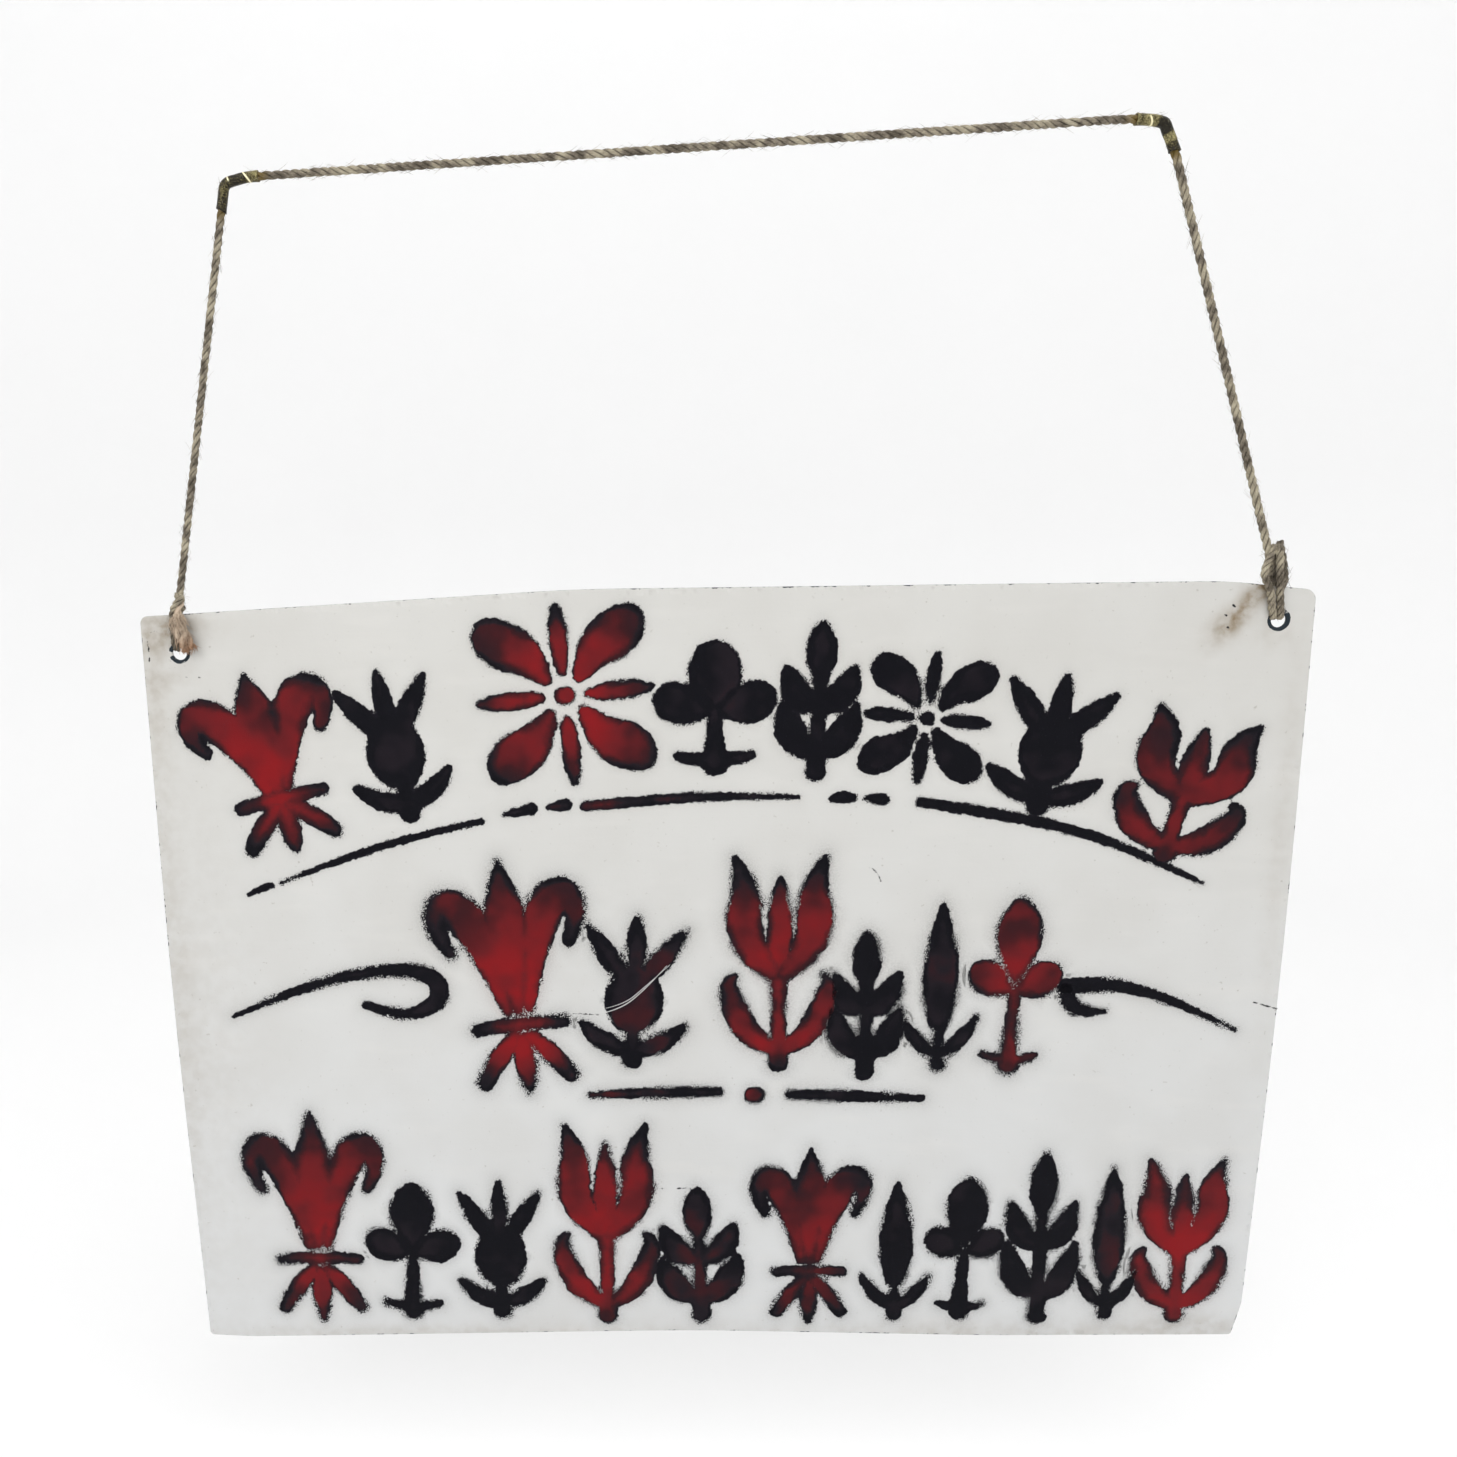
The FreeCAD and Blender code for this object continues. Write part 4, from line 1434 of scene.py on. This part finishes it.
class PLAQUE_OT_twine(bpy.types.Operator):
    """Lay the twine, its eyes, its knots and its loose ends"""

    bl_idname = "plaque.twine"
    bl_label = "Twine and knots"

    def execute(self, context):
        twine = context.scene.plaque_twine
        diameter, lay = twine.diameter / MM, twine.lay / MM
        fibre = jute("three_ply_jute", twine, 0.75, 0.0)
        path = twine_path(TWINE_STEP)
        stain, width = np.zeros(len(path)), np.ones(len(path))
        for ends in (LEFT_SLEEVE, RIGHT_SLEEVE):
            for place in ends:
                gap = np.linalg.norm(path[:, (0, 2)] - np.array(place), axis=1)
                stain = np.maximum(stain, np.exp(-((gap / STAIN_REACH) ** 2)))
            low, high = (nearest_on(path, place) for place in ends)
            width[low + 1 : high] = SQUEEZE
        heap = Heap()
        rope(heap, path, diameter, lay, 1, width=width, stain=stain)
        cord = heap.make("twine", fibre)
        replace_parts(cord, "cord")

        fuzz = Heap()
        hairs(fuzz, path, diameter / 2, TWINE_HAIRS, TWINE_HAIR_REACH, SEED + 1)
        for name, node, middle, course, seed in KNOT_PIECES:
            heap = Heap()
            line = strand(course, middle)
            rope(heap, line, diameter * 0.93, lay * 0.8, seed)
            hairs(fuzz, line, diameter / 2, KNOT_HAIRS, KNOT_HAIR_REACH, SEED + seed)
            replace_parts(heap.make(name, fibre), node)

        heap = Heap()
        line = strand(LEFT_TAIL, LEFT_KNOT)
        share = np.linspace(0.0, 1.0, len(line))
        opening = np.clip((share - 0.35) / 0.65, 0.0, 1.0)
        swell = {
            "width": 1.0 + 0.42 * np.sin(opening * 2.3),
            "open_by": 0.75 * np.sin(opening * 2.2),
            "opened": np.clip((share - 0.62) / 0.38, 0.0, 1.0),
        }
        rope(heap, line, diameter, lay * 1.5, 21, **swell)
        fray(heap, line, SEED + 31)
        tail = heap.make("left_frayed_end", jute("opened_jute", twine, 0.72, 0.66))
        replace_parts(tail, "left_tail")
        fuzz.make("loose_fibres", fibre)
        return {"FINISHED"}


def fray(heap, line, seed):
    """Fibres that have opened out of the cut end and lean together at its tip."""
    rng = np.random.default_rng(seed)
    tangents, sides, ups = directions(line)
    for _ in range(FRAY_FIBRES):
        share = rng.uniform(0.34, 0.95)
        at = int(share * (len(line) - 1))
        turn = rng.uniform(0.0, math.tau)
        out = math.cos(turn) * sides[at] + math.sin(turn) * ups[at]
        # None may point back into the sheet
        out[1] = min(out[1], 0.3)
        length = rng.uniform(2.0, 5.4) * (1.15 - share * 0.5)
        spread = rng.uniform(-0.10, 0.50)
        bend = rng.uniform(-0.75, 0.35)
        twist = rng.uniform(-0.55, 0.55)
        start = line[at] + out * rng.uniform(1.1, 2.3)
        across = np.cross(out, tangents[at])
        points = [
            start
            + tangents[at] * length * s
            + out * length * (spread * s + bend * s * s)
            + across * length * twist * math.sin(s * 3.0)
            for s in np.linspace(0.0, 1.0, len(FRAY_TAPER))
        ]
        thick = rng.uniform(0.08, 0.25) * np.array(FRAY_TAPER)
        shade = np.linspace(share, share + 0.30, len(FRAY_TAPER)) * 1.9 - 1.15
        shade = np.clip(shade, 0.0, 1.0)
        # Painted shade: a few fibres are darkened as if they lay deep in the tuft
        level = 1.0 - 0.75 * rng.uniform(0.0, 1.0) ** 3
        tube(heap, np.array(points), thick, 4, opened=shade, stain=0.0, depth=level)


# Painted highlight lines on the sleeves: middle (x, z), direction across the line, half width,
# reach
LEFT_GLINTS = (
    ((-163.7, 289.9), (0.93, 0.36), 0.32, 2.2),
    ((-157.7, 290.6), (0.80, 0.60), 0.36, 2.8),
)
RIGHT_GLINTS = (((140.1, 295.6), (0.93, 0.36), 0.36, 2.3),)

# Painted dark reflections and tarnish along each sleeve: share of its length, and 0, black, to 1,
# bright
LEFT_REFLECTION_AND_TARNISH = (
    (0.0, 0.02), (0.12, 0.08), (0.30, 0.26), (0.42, 0.24), (0.50, 0.10), (0.60, -0.05),
    (0.77, 0.02), (0.80, 0.42), (1.0, 0.52),
)
RIGHT_REFLECTION_AND_TARNISH = (
    (0.0, 0.70), (0.09, 0.42), (0.13, 0.56), (0.36, 0.60), (0.41, -0.1), (0.66, -0.1),
    (0.69, 0.66), (0.82, 0.72), (0.86, 0.20), (1.0, 0.10),
)

# Each sleeve: name, node that it takes the place of, ends, painted highlight lines, brightness
# from painted reflection and tarnish, and seed of its dents
SLEEVES = (
    ("left_brass_sleeve", "left_sleeve", LEFT_SLEEVE, LEFT_GLINTS, LEFT_REFLECTION_AND_TARNISH, 3.0),
    ("right_brass_sleeve", "right_sleeve", RIGHT_SLEEVE, RIGHT_GLINTS, RIGHT_REFLECTION_AND_TARNISH, 8.0),
)

# Sides of a sleeve's tube, the flare of its lips and the depth of its dents in millimetres,
# and how far the cuts at its two ends slant
SLEEVE_CORNERS = 28
LIP_FLARE = 0.10
DENT_DEPTH = 0.07
CUT_SLANT = 0.6


class PLAQUE_OT_brass(bpy.types.Operator):
    """Bend the brass sleeves round the twine at its two supports"""

    bl_idname = "plaque.brass"
    bl_label = "Brass sleeves"

    def execute(self, context):
        brass = context.scene.plaque_brass
        path = twine_path(SLEEVE_STEP)
        turn = np.arange(SLEEVE_CORNERS) / SLEEVE_CORNERS * math.tau
        for name, node, (first, last), glints, rubbing, seed in SLEEVES:
            course = path[nearest_on(path, first) : nearest_on(path, last) + 1]
            tangents, sides, ups = directions(course)
            ring = around(turn[None], sides[:, None], ups[:, None])
            share = np.linspace(0.0, 1.0, len(course))
            lip = np.exp(-((share / 0.05) ** 2)) + np.exp(-(((1 - share) / 0.05) ** 2))
            spots = (course[:, None] + ring * 1.7) * 0.55 + np.array((seed, 0, 0))
            dents = np.array([[noise.noise(spot) for spot in row] for row in spots.tolist()])
            outer = brass.outer / MM + LIP_FLARE * lip[:, None] + DENT_DEPTH * dents
            slant = 0.9 * ring[..., 0]
            edge_fade = np.exp(-((1 - share) / 0.06) ** 2) - np.exp(-((share) / 0.06) ** 2)
            shift = (slant * edge_fade[:, None] * CUT_SLANT)[..., None] * tangents[:, None]
            skin = course[:, None] + ring * outer[..., None] + shift
            bore = course[:, None] + ring * np.full_like(outer, brass.bore / MM)[..., None] + shift
            # Painted dark reflections and tarnish along the sleeve, the same on its skin and its
            # bore
            painted_brightness = np.interp(share, *zip(*rubbing))
            painted_brightness = np.concatenate([painted_brightness, painted_brightness[::-1]])[:, None]
            painted_brightness = np.repeat(painted_brightness, SLEEVE_CORNERS, axis=1)
            heap = Heap()
            heap.add_grid(np.concatenate([skin, bore[::-1]]), loop=True, rubbing=painted_brightness)
            piece = heap.make(name, tarnished_brass(brass, glints))
            make_outward(piece)
            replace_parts(piece, node)
        line = twine_path(TOLD_STEP) * MM
        return {"FINISHED"}


# Camera: place in millimetres, and pitch, yaw and roll in degrees
CAMERA_PLACE = (-44.4, -361.3, 150.1)
CAMERA_PITCH = 10.11
CAMERA_YAW = -2.07
CAMERA_ROLL = -1.53
CAMERA_SHIFT = (0.116, 0.028)

# Floor and wall: a round cove, open above
FLOOR_DROP = 60.0
COVE_RADIUS = 1500.0
COVE_BEND = 500.0
COVE_HEIGHT = 2200.0
COVE_SIDES = 96
BEND_STEPS = 12

# Soft round lights: name, setting of the power, and width, place and target in metres
LIGHTS = (
    ("key", "key_power", 1.1, (-0.55, -1.15, 0.75), (0.0, 0.0, 0.05)),
    ("fill", "fill_power", 1.4, (0.5, -0.5, 1.5), (0.0, 0.1, 0.0)),
    ("back", "fill_power", 1.6, (0.0, 1.0, 1.6), (0.0, 0.2, 0.0)),
)

# Strength of the white light that comes from all round
ROOM_LIGHT = 0.88


class PLAQUE_OT_stage(bpy.types.Operator):
    """Set the camera, the soft lights, and the pale floor and wall"""

    bl_idname = "plaque.stage"
    bl_label = "Stage"

    def execute(self, context):
        stage = context.scene.plaque_stage
        pitch, yaw, roll = (math.radians(a) for a in (CAMERA_PITCH, CAMERA_YAW, CAMERA_ROLL))
        ahead = Vector(
            (math.sin(yaw) * math.cos(pitch), math.cos(yaw) * math.cos(pitch), -math.sin(pitch))
        )
        right = Vector((math.cos(yaw), -math.sin(yaw), 0.0))
        up = right.cross(ahead)
        turned_right = math.cos(roll) * right + math.sin(roll) * up
        turned_up = math.cos(roll) * up - math.sin(roll) * right
        data = bpy.data.cameras.new("camera")
        data.lens = stage.focal_length
        data.shift_x, data.shift_y = CAMERA_SHIFT
        camera = bpy.data.objects.new("camera", data)
        context.scene.collection.objects.link(camera)
        axes = zip(turned_right, turned_up, -ahead, CAMERA_PLACE)
        rows = [(a, b, c, place * MM) for a, b, c, place in axes]
        camera.matrix_world = Matrix([*rows, (0.0, 0.0, 0.0, 1.0)])
        context.scene.camera = camera

        floor = SHEET_LOW.z - FLOOR_DROP
        profile = [(0.0, floor), (COVE_RADIUS - COVE_BEND, floor)]
        for step in range(1, BEND_STEPS + 1):
            turn = step / BEND_STEPS * math.pi / 2
            profile.append(
                (
                    COVE_RADIUS - COVE_BEND + COVE_BEND * math.sin(turn),
                    floor + COVE_BEND * (1 - math.cos(turn)),
                )
            )
        profile.append((COVE_RADIUS, floor + COVE_HEIGHT))
        turns = np.arange(COVE_SIDES) / COVE_SIDES * math.tau
        rows = np.array(
            [[(r * math.cos(t), r * math.sin(t), z) for t in turns] for r, z in profile]
        )
        mesh = bpy.data.meshes.new("cove")
        index = np.arange(len(profile) * COVE_SIDES).reshape(len(profile), COVE_SIDES)
        quads = quads_of(np.hstack([index, index[:, :1]]))[1:, :, [0, 3, 2, 1]]
        faces = [*quads.reshape(-1, 4).tolist(), index[1].tolist()]
        mesh.from_pydata((rows.reshape(-1, 3) * MM).tolist(), [], faces)
        mesh.polygons.foreach_set("use_smooth", [True] * len(mesh.polygons))
        cove = bpy.data.objects.new("cove", mesh)
        context.scene.collection.objects.link(cove)
        mesh.materials.append(matt_paint(stage))
        context.scene.view_settings.view_transform = "Standard"

        for name, power, size, place, target in LIGHTS:
            light = bpy.data.lights.new(name, "AREA")
            light.shape = "DISK"
            light.size = size
            light.energy = getattr(stage, power)
            lamp = bpy.data.objects.new(name, light)
            lamp.location = place
            lamp.rotation_mode = "QUATERNION"
            lamp.rotation_quaternion = (Vector(target) - Vector(place)).to_track_quat("-Z", "Y")
            context.scene.collection.objects.link(lamp)

        world = bpy.data.worlds.new("pale_room")
        world.use_nodes = True
        background = world.node_tree.nodes["Background"]
        background.inputs["Color"].default_value = linear("#FFFFFF")
        background.inputs["Strength"].default_value = ROOM_LIGHT
        context.scene.world = world
        return {"FINISHED"}


STEPS = (PLAQUE_OT_stage, PLAQUE_OT_marks, PLAQUE_OT_sheet, PLAQUE_OT_twine, PLAQUE_OT_brass)


class PLAQUE_PT_panel(bpy.types.Panel):
    """Lists the plaque's operators and settings"""

    bl_label = "Plaque"
    bl_idname = "PLAQUE_PT_panel"
    bl_space_type = "VIEW_3D"
    bl_region_type = "UI"
    bl_category = "Plaque"

    def draw(self, context):
        for step in STEPS:
            self.layout.operator(step.bl_idname)
        for name, group in SETTINGS:
            box = self.layout.box()
            for key in group.__annotations__:
                box.prop(getattr(context.scene, name), key)


SETTINGS = (
    ("plaque_sheet", PlaqueSheetSettings),
    ("plaque_marks", PlaqueMarksSettings),
    ("plaque_twine", PlaqueTwineSettings),
    ("plaque_brass", PlaqueBrassSettings),
    ("plaque_stage", PlaqueStageSettings),
)


def register():
    """Registers the classes and the settings."""
    for name, group in SETTINGS:
        bpy.utils.register_class(group)
        setattr(bpy.types.Scene, name, bpy.props.PointerProperty(type=group))
    for step in STEPS:
        bpy.utils.register_class(step)
    bpy.utils.register_class(PLAQUE_PT_panel)


def unregister():
    """Takes the classes and the settings out again."""
    bpy.utils.unregister_class(PLAQUE_PT_panel)
    for step in reversed(STEPS):
        bpy.utils.unregister_class(step)
    for name, group in reversed(SETTINGS):
        delattr(bpy.types.Scene, name)
        bpy.utils.unregister_class(group)


def main():
    """Builds every piece in order."""
    register()
    for step in STEPS:
        family, action = step.bl_idname.split(".")
        getattr(getattr(bpy.ops, family), action)()


if __name__ == "__main__":
    main()
